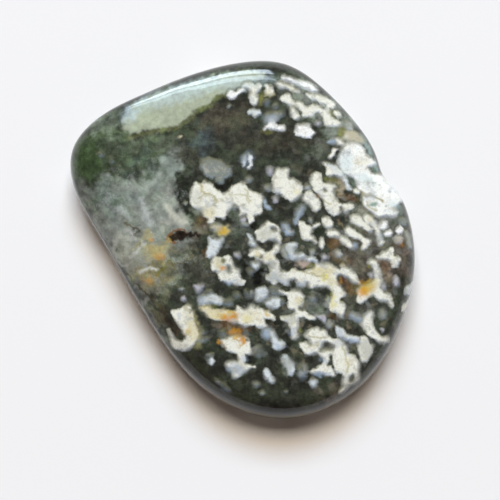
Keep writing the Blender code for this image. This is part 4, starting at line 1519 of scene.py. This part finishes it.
def add_panel(name, place, width, height, radiance, colour):
    """A rectangular light that faces the stone."""
    light = bpy.data.lights.new(name, "AREA")
    light.shape = "RECTANGLE"
    light.size = width
    light.size_y = height
    light.energy = radiance * math.pi * width * height
    light.color = colour
    panel = bpy.data.objects.new(name, light)
    panel.location = place
    panel.rotation_euler = place.to_track_quat("Z", "Y").to_euler()
    panel.visible_camera = False
    bpy.context.scene.collection.objects.link(panel)
    return panel


def make_window():
    """A window behind the stone, in panes, a little to the left, which shows only in the polish."""
    for low, high, radiance in PANES:
        middle, half = math.radians((low + high) / 2), math.radians((high - low) / 2)
        place = direction(WINDOW_HEADING, middle) * WINDOW_DISTANCE
        width = 2 * math.cos(middle) * WINDOW_DISTANCE * math.tan(WINDOW_SPREAD / 2)
        height = 2 * WINDOW_DISTANCE * math.tan(half)
        window = add_panel("window", place, width, height, radiance, WINDOW_COLOUR)
        window.visible_diffuse = False


def make_bounce():
    """A soft light from above and behind, which shows in no reflection."""
    for elevation, colour in BOUNCES:
        place = direction(BOUNCE_HEADING, math.radians(elevation)) * BOUNCE_DISTANCE
        bounce = add_panel("bounce", place, *BOUNCE_SIZE, BOUNCE_RADIANCE, colour)
        bounce.visible_glossy = False


def make_world():
    """A surround that is pale near the horizon, more so towards the window, and dim and warm overhead."""
    world = bpy.data.worlds.new("studio")
    world.use_nodes = True
    n = Nodes(world.node_tree)
    place = n.add("ShaderNodeTexCoord", {}).outputs["Generated"]
    split = n.add("ShaderNodeSeparateXYZ", {0: place}).outputs
    horizon = n.mix(n.ease(split["Y"], *NEAR_TO_FAR), NEAR_HORIZON, FAR_HORIZON)
    surround = n.mix(n.ease(split["Z"], *LOW_TO_HIGH), horizon, OVERHEAD)
    n.put(world.node_tree.nodes["Background"].inputs["Color"], surround)
    bpy.context.scene.world = world


def make_camera():
    right, up, back = camera_axes()
    pixel = DISTANCE / FOCAL_PIXELS
    centre = PHOTO_SIZE / 2
    sideways = right * (centre - PIVOT_PIXEL[0]) * pixel
    lift = up * (PIVOT_PIXEL[1] - centre) * pixel
    data = bpy.data.cameras.new("camera")
    data.lens = LENS
    data.sensor_width = SENSOR
    data.clip_start = CLIP_START
    data.clip_end = CLIP_END
    camera = bpy.data.objects.new("camera", data)
    camera.location = PIVOT + Vector(back * DISTANCE + sideways + lift)
    camera.rotation_euler = (math.pi / 2 - ELEVATION, 0, 0)
    bpy.context.scene.collection.objects.link(camera)
    bpy.context.scene.camera = camera


make_stone()
make_floor()
make_window()
make_bounce()
make_world()
make_camera()
bpy.context.scene.view_settings.view_transform = "Standard"
